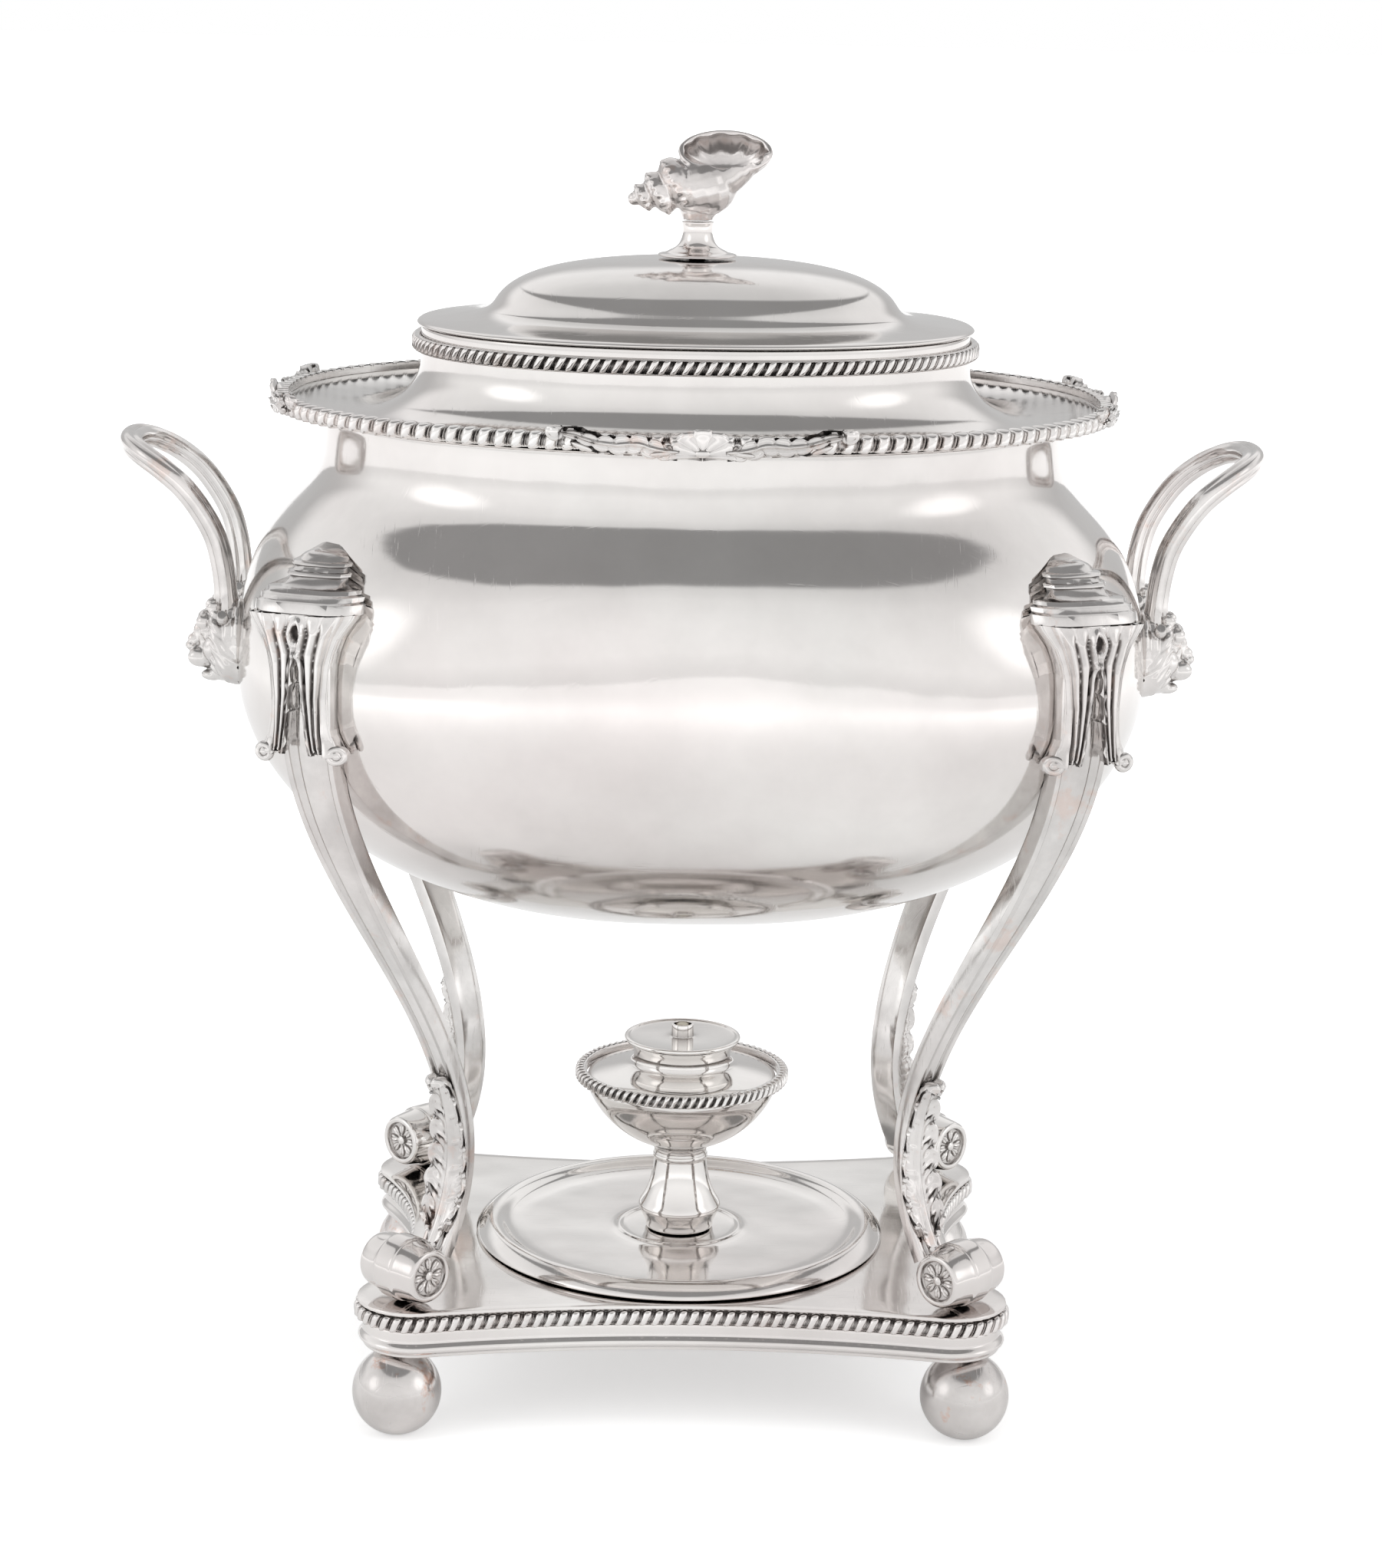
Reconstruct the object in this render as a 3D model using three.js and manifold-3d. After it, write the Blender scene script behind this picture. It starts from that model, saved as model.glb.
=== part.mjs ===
// Tea urn on a lamp stand.
// A concave-sided tray on four balls carries a spirit lamp and four S-shaped
// legs. The legs hold an oblong covered vessel with a wide rim, two looped
// handles on lion masks, a tap low on its back and a lid with a shell finial.
// Millimetres, +Z up, the front faces -Y. The table is at Z = 0.

import * as THREE from 'three';
import { mergeVertices } from 'three/addons/utils/BufferGeometryUtils.js';
import Module from 'manifold-3d';

const wasm = await Module();
wasm.setup();

// General
const clearance = 0.3;
const planDepthShare = 0.8;
const oblongFacets = 32;
const rimSquareness = 2.2;
const bellySquareness = 2.8;

// Ball feet
const ballRadius = 14;
const ballFlatRadius = 3;
const ballNeckRadius = 4.4;
const ballStudRadius = 2.6;
const ballX = 87.7;
const ballY = 66.5;

// Base plate, its gadroon border and its apron
const plateCornerX = 82.9;
const plateCornerY = 59.4;
const plateCornerRadius = 17.4;
const plateFrontWaist = 67.8;
const plateSideWaist = 86;
const plateTopZ = 42.5;
const plateThickness = 1.3;
const gadroonHeight = 5;
const gadroonReach = 3.2;
const apronHeight = 13.6;
const apronWall = 1.6;
const apronBulge = 1.8;

// Drip pan
const panRadius = 66;
const panWellRadius = 58.2;
const panFloorThickness = 1.3;
const panRingHeight = 5;
const panSeatRadius = 20;
const panSeatHeight = 1.1;

// Scroll feet, where the legs stand on the plate
const scrollX = 85.4;
const scrollY = 64.1;
const scrollRadius = 10.1;
const scrollFaceRadius = 8.1;
const scrollLength = 24;
const scrollBand = 5.6;
const rosetteRadius = 6.4;
const rosetteDepth = 1.1;

// Legs
const legStandOff = 2.6;
const legKneeReach = 22.2;
const legKneeRise = 34;
const legShoulderZ = 228;
const legHookRadius = 54;
const legFootWidth = 10.3;
const legTopWidth = 15;
const legFootThickness = 5;
const legTopThickness = 7.8;
const legChannel = 0.8;
const legRib = 1.8;
const legSteps = 14;

// Leaf on each leg's foot
const leafBottomRise = 4;
const leafLength = 58;
const leafHalfWidth = 8.6;
const leafSheet = 1.3;
const leafRidge = 1.5;
const leafDish = 0.9;
const leafLobes = 5;
const leafCurlRadius = 4;

// Drapery panel and cap at each leg's top
const capBaseZ = 258.8;
const capHalfWidth = 17;
const capHeight = 18.6;
const capDepth = 13.5;
const capSeatDepth = 22;
const bracketTurn = 25;
const drapeLength = 38.6;
const drapeThickness = 3.2;
const drapeReturn = 9;
const drapeWaist = 9.6;
const voluteRadius = 3.6;
const voluteSpread = 13.8;

// Vessel
const vesselBottomZ = 150.5;
const bellyZ = 234;
const bellyRadius = 140;
const bellyFullness = 2;
const neckInset = 26.5;
const neckZ = 297;
const shoulderHandle = 53;
const neckHandle = 20;
const vesselWall = 1.6;

// Flange and collar above the neck
const flangeOverhang = 11.1;
const flangeEdgeZ = 312.8;
const flangeDip = 3.4;
const collarFootInset = 9.5;
const collarThroatInset = 29.3;
const collarTopZ = 335.4;
const collarSheet = 1.5;
const rimBeadHeight = 5.4;
const rimBeadReach = 4.4;
const collarBeadHeight = 5;
const collarBeadReach = 2.8;
const collarBeadDrop = 4.9;

// Cast shell and scroll groups on the flange rim
const ornamentHalfLength = 44;
const ornamentCover = 1.6;
const ornamentSteps = 14;

// Lid
const lidOverhang = 1.4;
const lidShoulderInset = 23.8;
const lidShoulderRise = 7;
const lidRise = 20.9;
const lidSheet = 1.2;
const bezelDepth = 8;
const bezelSheet = 1.2;

// Finial
const finialDiscRadius = 12.2;
const finialWaistRadius = 4.8;
const finialStemHeight = 10.9;
const studRadius = 2.2;
const studLength = 7;
const nutRadius = 4.6;
const nutHeight = 3;
const shellLength = 42.5;
const shellGirth = 11;
const shellTilt = 15;
const shellLipRadius = 12;

// Handles and lion masks
const handleHalfSpread = 25;
const handleOverhang = 32.9;
const handleTopZ = 298.5;
const handleRadius = 3.75;
const handleReedDepth = 0.55;
const handleSteps = 24;
const maskZ = 240.3;
const maskHeight = 28;
const maskWidth = 24;
const maskReach = 15;
const maskSeatDepth = 6.5;

// Tap on the back
const tapZ = 196;
const tapRosetteRadius = 12;
const tapRosetteHeight = 5;
const tapNippleReach = 8;
const tapPipeRadius = 5.6;
const tapBoreRadius = 2.4;
const tapWallHoleRadius = 5;
const tapBarrelReach = 30;
const tapBarrelRadius = 8.4;
const tapBarrelHeight = 24;
const tapBarrelChamfer = 2;
const tapBarrelLip = 0.8;
const tapSpoutReach = 22;
const tapSpoutDrop = 26;
const plugTopRadius = 5.2;
const plugBottomRadius = 4.4;
const keyTailRadius = 2;
const keyTailLength = 5;
const keyNeckRadius = 3;
const keyNeckHeight = 9;
const keyNutRadius = 5.4;
const keyNutHeight = 2.6;
const backNutRadius = 9;
const backNutHeight = 5;
const tapLeverHalfLength = 15;

// Radii that follow the belly's, from the neck up to the lid, and the handles' reach
const neckRadius = bellyRadius - neckInset;
const flangeRadius = neckRadius + flangeOverhang;
const collarFootRadius = neckRadius - collarFootInset;
const collarThroatRadius = neckRadius - collarThroatInset;
const lidBrimRadius = collarThroatRadius + lidOverhang;
const lidShoulderRadius = lidBrimRadius - lidShoulderInset;
const handleReach = bellyRadius + handleOverhang;

// Spirit lamp
const lampFootRadius = 11;
const lampWaistRadius = 8.2;
const lampStemHeight = 28.5;
const lampBowlRadius = 31;
const lampBowlDepth = 21;
const lampBowlWall = 1.5;
const lampRimRadius = 33.1;
const lampRimBead = 4.2;
const lampNeckRadius = 15.5;
const lampShoulderRise = 3.4;
const lampNeckHeight = 9.4;
const lampSheet = 1.3;
const burnerRadius = 18.7;
const burnerThickness = 1.5;
const burnerPlugDepth = 6;
const wickTubeRadius = 3.5;
const wickTubeHeight = 4;
const wickRadius = 2.4;
const wickLength = 36;
const ventRadius = 1;

// Plain silver plate, a little warmer and darker where the piece is cast.
const silver = { color: 0xc9c6c2, roughness: 0.18, metalness: 1.0 };
const castSilver = { color: 0xb3aeaa, roughness: 0.34, metalness: 1.0 };
const brassy = { color: 0xb08d57, roughness: 0.35, metalness: 1.0 };
const cotton = { color: 0xd8cfb8, roughness: 0.95, metalness: 0.0 };

// Geometry helpers

// Keeps the positions only, joins shared corners, drops empty triangles and turns
// the faces outward.
function closed(geometry) {
  const bare = new THREE.BufferGeometry();
  bare.setAttribute('position', geometry.getAttribute('position').clone());
  if (geometry.index) bare.setIndex(geometry.index.clone());
  const merged = mergeVertices(bare, 1e-4);
  const corners = merged.index.array;
  const position = merged.getAttribute('position');
  const kept = [];
  for (let i = 0; i < corners.length; i += 3) {
    const [a, b, c] = [corners[i], corners[i + 1], corners[i + 2]];
    if (a !== b && b !== c && c !== a) kept.push(a, b, c);
  }
  const p = new THREE.Vector3();
  const q = new THREE.Vector3();
  const r = new THREE.Vector3();
  let volume = 0;
  for (let i = 0; i < kept.length; i += 3) {
    p.fromBufferAttribute(position, kept[i]);
    q.fromBufferAttribute(position, kept[i + 1]);
    r.fromBufferAttribute(position, kept[i + 2]);
    volume += p.dot(q.cross(r));
  }
  if (volume < 0) kept.reverse();
  merged.setIndex(kept);
  merged.computeVertexNormals();
  return merged;
}

function toSolid(geometry) {
  const shape = closed(geometry);
  return new wasm.Manifold(new wasm.Mesh({
    numProp: 3,
    vertProperties: new Float32Array(shape.getAttribute('position').array),
    triVerts: new Uint32Array(shape.index.array),
  }));
}

function fromSolid(solid) {
  const mesh = solid.getMesh();
  const geometry = new THREE.BufferGeometry();
  geometry.setAttribute('position', new THREE.BufferAttribute(new Float32Array(mesh.vertProperties), 3));
  geometry.setIndex(new THREE.BufferAttribute(new Uint32Array(mesh.triVerts), 1));
  return closed(geometry);
}

function joined(geometries) {
  return fromSolid(geometries.map(toSolid).reduce((sum, next) => sum.add(next)));
}

function cutBy(geometry, cutters) {
  return fromSolid(cutters.map(toSolid).reduce((rest, cutter) => rest.subtract(cutter), toSolid(geometry)));
}

// A profile of [radius, z] points turned round the Z axis. It starts and ends on
// the axis, or its last point repeats the first.
function turned(profile, facets) {
  const points = profile.map(([radius, z]) => new THREE.Vector2(radius, z));
  return closed(new THREE.LatheGeometry(points, facets).rotateX(Math.PI / 2));
}

function ring(profile) {
  return [...profile, profile[0]];
}

// Rings of points joined in order. With wrap the last ring meets the first one;
// otherwise both ends are capped.
function loft(rings, wrap = false) {
  const count = rings[0].length;
  const positions = rings.flat().flatMap((point) => [point.x, point.y, point.z]);
  const index = [];
  const last = wrap ? rings.length : rings.length - 1;
  for (let i = 0; i < last; i += 1) {
    const next = (i + 1) % rings.length;
    for (let j = 0; j < count; j += 1) {
      const k = (j + 1) % count;
      const [a, b, c, d] = [i * count + j, i * count + k, next * count + k, next * count + j];
      index.push(a, b, c, a, c, d);
    }
  }
  if (!wrap) {
    index.push(...capOf(rings[0], 0).reverse());
    index.push(...capOf(rings[rings.length - 1], (rings.length - 1) * count));
  }
  const geometry = new THREE.BufferGeometry();
  geometry.setAttribute('position', new THREE.Float32BufferAttribute(positions, 3));
  geometry.setIndex(index);
  return closed(geometry);
}

// Triangles that fill one flat ring, with its corners counted from start.
function capOf(points, start) {
  const origin = points[0];
  const normal = new THREE.Vector3();
  points.forEach((point, i) => {
    const next = points[(i + 1) % points.length];
    normal.add(point.clone().sub(origin).cross(next.clone().sub(origin)));
  });
  normal.normalize();
  const side = points[1].clone().sub(origin).normalize();
  const up = normal.clone().cross(side);
  const flat = points.map((point) => {
    const offset = point.clone().sub(origin);
    return new THREE.Vector2(offset.dot(side), offset.dot(up));
  });
  return THREE.ShapeUtils.triangulateShape(flat, []).flat().map((corner) => corner + start);
}

// A straight block whose sides are named by its lowest and highest corners.
function block(low, high) {
  const size = high.map((value, i) => value - low[i]);
  const middle = high.map((value, i) => (value + low[i]) / 2);
  return new THREE.BoxGeometry(...size).translate(...middle);
}

function ellipsoid(centre, radii, facets = 10) {
  return new THREE.SphereGeometry(1, facets, Math.round(facets * 0.7))
    .rotateX(Math.PI / 2).scale(...radii).translate(...centre);
}

// A six-sided nut round the Z axis with its top at the given height.
function hexNut(radius, height, hole, top) {
  const body = new THREE.CylinderGeometry(radius, radius, height, 6).rotateX(Math.PI / 2);
  const bore = new THREE.CylinderGeometry(hole, hole, 2 * height, 16).rotateX(Math.PI / 2);
  return cutBy(body, [bore]).translate(0, 0, top - height / 2);
}

function smooth(value, from, to) {
  return THREE.MathUtils.smoothstep(value, from, to);
}

// Oblong plan: a rounded oblong between an ellipse and a rectangle.

function oblongStretch(angle, squareness) {
  const across = Math.abs(Math.cos(angle)) ** squareness;
  const along = Math.abs(Math.sin(angle)) ** squareness;
  return (across + along) ** (-1 / squareness);
}

function squarenessAt(z) {
  return THREE.MathUtils.lerp(bellySquareness, rimSquareness, smooth(z, bellyZ, neckZ));
}

function oblong(geometry) {
  const position = geometry.getAttribute('position');
  for (let i = 0; i < position.count; i += 1) {
    const x = position.getX(i);
    const y = position.getY(i);
    const stretch = oblongStretch(Math.atan2(y, x), squarenessAt(position.getZ(i)));
    position.setX(i, x * stretch);
    position.setY(i, y * stretch * planDepthShare);
  }
  return closed(geometry);
}

function oblongTurned(profile) {
  return oblong(turned(profile, oblongFacets));
}

// Vessel outline

// Half the vessel's outer width along X at each height, from the bottom to the neck.
function vesselProfile(extra = 0) {
  const points = [];
  const lowSteps = 7;
  for (let i = 0; i <= lowSteps; i += 1) {
    const drop = Math.cos((i / lowSteps) * Math.PI / 2);
    const radius = (bellyRadius + extra) * (1 - drop ** bellyFullness) ** (1 / bellyFullness);
    points.push([radius, bellyZ - drop * (bellyZ - vesselBottomZ + extra)]);
  }
  const shoulder = new THREE.CubicBezierCurve(
    new THREE.Vector2(bellyRadius + extra, bellyZ),
    new THREE.Vector2(bellyRadius + extra, bellyZ + shoulderHandle),
    new THREE.Vector2(neckRadius + extra, neckZ - neckHandle),
    new THREE.Vector2(neckRadius + extra, neckZ),
  );
  shoulder.getPoints(6).slice(1).forEach((point) => points.push([point.x, point.y]));
  points.push([neckRadius + extra, neckTopZ()]);
  return points;
}

function vesselRadiusAt(z) {
  const profile = vesselProfile();
  const above = profile.findIndex((point) => point[1] >= z);
  const [r1, z1] = profile[Math.max(above, 1)];
  const [r0, z0] = profile[Math.max(above, 1) - 1];
  return THREE.MathUtils.lerp(r0, r1, (z - z0) / (z1 - z0));
}

// The vessel as one block that grows by extra on every side, for cutting what
// lies against it.
function vesselBlock(extra) {
  return oblongTurned([[0, vesselBottomZ - extra], ...vesselProfile(extra).slice(1), [0, neckTopZ()]]);
}

// The hollow's outline, in fewer steps than the outside, drawn in by gap.
function hollowProfile(gap) {
  return vesselProfile(-vesselWall - gap).filter((point, i) => i % 2 === 0);
}

// How far outward of the scroll foot the vessel's corner lies in a leg's plane.
function cornerReachAt(z) {
  const half = vesselRadiusAt(z);
  const power = squarenessAt(z);
  let inside = -bellyRadius;
  let outside = bellyRadius;
  while (outside - inside > 0.01) {
    const reach = (inside + outside) / 2;
    const x = (scrollX + reach * Math.SQRT1_2) / half;
    const y = (scrollY + reach * Math.SQRT1_2) / (half * planDepthShare);
    if (x ** power + y ** power < 1) inside = reach;
    else outside = reach;
  }
  return inside;
}

// Base

// Plan of the base plate drawn in by inset: round corners joined by hollow arcs.
function plateOutline(inset = 0) {
  const cornerSteps = 5;
  const arcSteps = 3;
  const front = hollowArc(plateCornerX, plateCornerY, plateFrontWaist);
  const side = hollowArc(plateCornerY, plateCornerX, plateSideWaist);
  const quarter = [];
  for (let i = 0; i < arcSteps; i += 1) {
    const angle = (side.angle * i) / arcSteps;
    const radius = side.radius + inset;
    quarter.push([side.centre - radius * Math.cos(angle), radius * Math.sin(angle)]);
  }
  for (let i = 0; i <= cornerSteps; i += 1) {
    const angle = THREE.MathUtils.lerp(-side.angle, Math.PI / 2 + front.angle, i / cornerSteps);
    const radius = plateCornerRadius - inset;
    quarter.push([plateCornerX + radius * Math.cos(angle), plateCornerY + radius * Math.sin(angle)]);
  }
  for (let i = arcSteps - 1; i >= 0; i -= 1) {
    const angle = (front.angle * i) / arcSteps;
    const radius = front.radius + inset;
    quarter.push([radius * Math.sin(angle), front.centre - radius * Math.cos(angle)]);
  }
  const left = quarter.slice(0, -1).reverse().map(([x, y]) => [-x, y]);
  const back = [...quarter, ...left];
  const mirrored = back.slice(1, -1).reverse().map(([x, y]) => [x, -y]);
  return [...back, ...mirrored].map(([x, y]) => new THREE.Vector2(x, y));
}

// The hollow arc between two corner arcs of one side: the corners lie at plus and
// minus half along the side, out from the middle, and the arc's middle is at waist.
function hollowArc(half, out, waist) {
  const inner = waist - plateCornerRadius;
  const centre = (half ** 2 + out ** 2 - inner ** 2) / (2 * (out - inner));
  const radius = centre - waist;
  return { centre, radius, angle: Math.atan2(half, centre - out) };
}

// A moulding of [inset, z] points carried round the plate.
function moulding(profile) {
  const loops = profile.map(([inset, z]) => plateOutline(inset).map((p) => new THREE.Vector3(p.x, p.y, z)));
  return loft(loops, true);
}

function basePlate() {
  const shape = new THREE.Shape(plateOutline());
  return new THREE.ExtrudeGeometry(shape, { depth: plateThickness, bevelEnabled: false })
    .translate(0, 0, plateTopZ - plateThickness);
}

function baseGadroon() {
  const top = plateTopZ - plateThickness - clearance;
  const inner = apronWall + 0.9 - clearance;
  const outer = inner - gadroonReach;
  return moulding([
    [inner, top],
    [outer + 1.1, top],
    [outer, top - gadroonHeight * 0.3],
    [outer, top - gadroonHeight * 0.7],
    [outer + 1.1, top - gadroonHeight],
    [inner, top - gadroonHeight],
  ]);
}

function baseApron() {
  const top = plateTopZ - plateThickness - clearance;
  const band = top - gadroonHeight - clearance;
  const outer = apronWall + 0.9;
  const inner = outer + apronWall;
  const bottom = top - apronHeight;
  const torusTop = bottom + 4.4;
  return moulding([
    [inner, top],
    [outer, top],
    [outer, band],
    [outer - 0.7, band],
    [outer - 0.7, torusTop],
    [outer - 0.7 - apronBulge, torusTop - 1.7],
    [outer - 0.6, torusTop - 3.2],
    [outer - 0.6, bottom],
    [inner, bottom],
  ]);
}

function apronBottomZ() {
  return plateTopZ - plateThickness - clearance - apronHeight;
}

function ballFoot() {
  const centre = Math.sqrt(ballRadius ** 2 - ballFlatRadius ** 2);
  const start = -Math.acos(ballFlatRadius / ballRadius);
  const end = Math.acos(ballNeckRadius / ballRadius);
  const steps = 6;
  const profile = [[0, 0]];
  for (let i = 0; i <= steps; i += 1) {
    const angle = THREE.MathUtils.lerp(start, end, i / steps);
    profile.push([ballRadius * Math.cos(angle), centre + ballRadius * Math.sin(angle)]);
  }
  const studTop = plateTopZ - plateThickness - clearance;
  const neckTop = Math.max(apronBottomZ() + 2, profile[profile.length - 1][1] + 1);
  profile.push([ballNeckRadius, neckTop], [ballStudRadius, neckTop], [ballStudRadius, studTop], [0, studTop]);
  return turned(profile, 14);
}

// Drip pan and lamp

function panFloorZ() {
  return plateTopZ + clearance + panFloorThickness;
}

function dripPan() {
  const bottom = plateTopZ + clearance;
  const floor = panFloorZ();
  const crown = bottom + panRingHeight;
  const middle = (panRadius + panWellRadius) / 2;
  return turned([
    [0, bottom],
    [panRadius, bottom],
    [panRadius - 0.4, bottom + panRingHeight * 0.55],
    [middle + 1.6, crown - 0.2],
    [middle, crown],
    [panWellRadius, crown - 0.7],
    [panWellRadius - 3.6, floor + 0.3],
    [panWellRadius - 5.4, floor],
    [panSeatRadius + 1, floor],
    [panSeatRadius + 0.4, floor + panSeatHeight],
    [panSeatRadius - 0.6, floor + panSeatHeight],
    [panSeatRadius - 1.4, floor],
    [0, floor],
  ], 28);
}

function lampZ() {
  return panFloorZ() + clearance;
}

function lampBowlTopZ() {
  return lampZ() + lampStemHeight + lampBowlDepth;
}

function bowlArc(radius, depth, from) {
  const steps = 4;
  const points = [];
  const start = Math.asin(Math.min(from / radius, 1));
  for (let i = 0; i <= steps; i += 1) {
    const angle = THREE.MathUtils.lerp(start, Math.PI / 2, i / steps);
    points.push([radius * Math.sin(angle), lampBowlTopZ() - depth * Math.cos(angle)]);
  }
  return points;
}

function lampBowl() {
  const foot = lampZ();
  const inner = bowlArc(lampBowlRadius - lampBowlWall, lampBowlDepth - lampBowlWall, 0).reverse();
  return turned([
    [0, foot],
    [lampFootRadius, foot],
    [lampFootRadius + 0.8, foot + 2.2],
    [lampFootRadius + 2.4, foot + lampStemHeight * 0.26],
    [lampFootRadius + 1.6, foot + lampStemHeight * 0.36],
    [lampWaistRadius + 1.3, foot + lampStemHeight * 0.58],
    [lampWaistRadius, foot + lampStemHeight * 0.86],
    ...bowlArc(lampBowlRadius, lampBowlDepth, lampWaistRadius + 0.8),
    ...inner,
  ], 20);
}

function lampRimZ() {
  return lampBowlTopZ() + clearance;
}

function lampGadroon() {
  const inner = lampRimRadius - lampRimBead * 0.55;
  const middle = lampRimZ() + lampRimBead / 2;
  const half = lampRimBead / 2;
  return turned(ring([
    [inner, middle - half],
    [lampRimRadius, middle - half],
    [lampRimRadius + 1.2, middle],
    [lampRimRadius, middle + half],
    [inner, middle + half],
  ]), 20);
}

function lampShoulderZ() {
  return lampRimZ();
}

function lampNeckTopZ() {
  return lampShoulderZ() + lampShoulderRise + lampNeckHeight;
}

function lampShoulder() {
  const low = lampShoulderZ();
  const knee = low + lampShoulderRise;
  const top = lampNeckTopZ();
  const outer = lampRimRadius - lampRimBead * 0.55 - clearance;
  const throat = lampNeckRadius - lampSheet;
  return turned(ring([
    [outer, low],
    [outer, low + lampSheet + 1],
    [lampNeckRadius + 2.4, knee + lampSheet],
    [lampNeckRadius, knee + lampSheet + 2.2],
    [lampNeckRadius, top - 3],
    [burnerRadius - 1.2, top],
    [throat, top],
    [throat, knee + 0.6],
    [outer - 1.6, low],
  ]), 20);
}

function burnerZ() {
  return lampNeckTopZ() + clearance;
}

// The disc that closes the lamp, with its plug, its wick tube and a vent.
function burnerDisc() {
  const low = burnerZ();
  const top = low + burnerThickness;
  const plug = lampNeckRadius - lampSheet - clearance;
  const bore = wickRadius + clearance;
  const disc = turned(ring([
    [bore, low - burnerPlugDepth],
    [plug, low - burnerPlugDepth],
    [plug, low],
    [burnerRadius, low],
    [burnerRadius, top],
    [burnerRadius - 1.4, top],
    [burnerRadius - 2, top - 0.5],
    [wickTubeRadius, top - 0.5],
    [wickTubeRadius, top + wickTubeHeight],
    [bore, top + wickTubeHeight],
  ]), 20);
  const vent = new THREE.CylinderGeometry(ventRadius, ventRadius, 3 * burnerPlugDepth, 8)
    .rotateX(Math.PI / 2).translate(wickTubeRadius * 2.2, 0, low);
  return cutBy(disc, [vent]);
}

function wick() {
  const top = burnerZ() + burnerThickness + wickTubeHeight;
  return turned([[0, top - wickLength], [wickRadius, top - wickLength], [wickRadius, top], [0, top]], 12);
}

// Legs. Each is drawn with X outward from its scroll foot and Y across it.

function scrollZ() {
  return plateTopZ + clearance + scrollRadius;
}

function kneeZ() {
  return scrollZ() + legKneeRise;
}

// The leg's top stands a little out from the vessel's widest corner.
const legTopReach = cornerReachAt(bellyZ) + legStandOff;

// Reach of the leg's middle line at each height: an S above the knee, a hook below.
function legReachAt(z) {
  const rise = smooth(z, kneeZ(), legShoulderZ);
  const hook = Math.max(kneeZ() - z, 0) ** 2 / (2 * legHookRadius);
  return -legKneeReach + (legTopReach + legKneeReach) * rise + hook;
}

function legTaperAt(z) {
  return THREE.MathUtils.clamp((z - kneeZ()) / (legShoulderZ - kneeZ()), 0, 1) ** 1.6;
}

function legWidthAt(z) {
  return THREE.MathUtils.lerp(legFootWidth, legTopWidth, legTaperAt(z));
}

function legThicknessAt(z) {
  return THREE.MathUtils.lerp(legFootThickness, legTopThickness, legTaperAt(z));
}

// The point on the leg that lies out from its middle line and across it.
function onLeg(z, out, across) {
  const step = 0.5;
  const slope = (legReachAt(z + step) - legReachAt(z - step)) / (2 * step);
  const length = Math.hypot(1, slope);
  return new THREE.Vector3(legReachAt(z) + out / length, across, z - out * slope / length);
}

// The leg's top faces a little towards the urn's long side, so the leg twists above
// its knee, and its drapery and cap are turned as far.
function twistAt(z, hand) {
  const full = smooth(z, kneeZ() + legKneeRise, capBaseZ - drapeLength - voluteRadius);
  return -hand * full * THREE.MathUtils.degToRad(bracketTurn);
}

function bracketTurned(geometry, hand) {
  return geometry.translate(-legTopReach, 0, 0).rotateZ(twistAt(capBaseZ, hand)).translate(legTopReach, 0, 0);
}

// The outer face is sunk between two ribs.
function leg(hand) {
  const rings = [];
  const low = scrollZ() + 1;
  const high = capBaseZ - clearance;
  for (let i = 0; i <= legSteps; i += 1) {
    const z = THREE.MathUtils.lerp(low, high, i / legSteps);
    const half = legWidthAt(z) / 2;
    const out = legThicknessAt(z) / 2;
    const section = [
      [-out, -half], [out, -half], [out, legRib - half], [out - legChannel, legRib + 0.5 - half],
      [out - legChannel, half - legRib - 0.5], [out, half - legRib], [out, half], [-out, half],
    ];
    const twist = twistAt(z, hand);
    rings.push(section.map(([away, across]) => onLeg(
      z,
      away * Math.cos(twist) - across * Math.sin(twist),
      away * Math.sin(twist) + across * Math.cos(twist),
    )));
  }
  return loft(rings);
}

function scrollFoot() {
  const half = scrollLength / 2;
  const recess = half - rosetteDepth;
  const side = [
    [scrollFaceRadius + 1.3, scrollBand / 2 + 0.7],
    [scrollFaceRadius, half],
    [rosetteRadius, half],
    [rosetteRadius - 0.4, recess],
    [1.8, recess],
    [0, half - 0.2],
  ];
  const profile = [
    ...side.map(([radius, along]) => [radius, -along]).reverse(),
    [scrollRadius, -scrollBand / 2],
    [scrollRadius, scrollBand / 2],
    ...side,
  ];
  return turned(profile, 12).rotateX(Math.PI / 2).translate(0, 0, scrollZ());
}

// Round block a little wider than the scroll foot, for cutting the leg's end.
function scrollBlock() {
  const radius = scrollRadius + clearance;
  return new THREE.CylinderGeometry(radius, radius, 2 * scrollLength, 18).translate(0, 0, scrollZ());
}

// The lobed leaf that lies on the leg's foot and curls away at its tip.
function legLeaf() {
  const low = scrollZ() + leafBottomRise;
  const rings = [];
  const steps = leafLobes * 2;
  for (let i = 0; i <= steps; i += 1) {
    const share = i / steps;
    const swell = Math.sin(Math.PI * THREE.MathUtils.lerp(0.14, 0.9, share)) ** 0.7;
    const lobe = i % 2 === 1 ? 1 : 0.82;
    rings.push(leafSection(low + leafLength * share, leafHalfWidth * swell * lobe, 0));
  }
  const curlSteps = 3;
  for (let i = 1; i <= curlSteps; i += 1) {
    rings.push(leafSection(low + leafLength, leafHalfWidth * 0.32, (i / curlSteps) * Math.PI * 0.7));
  }
  return loft(rings);
}

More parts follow.
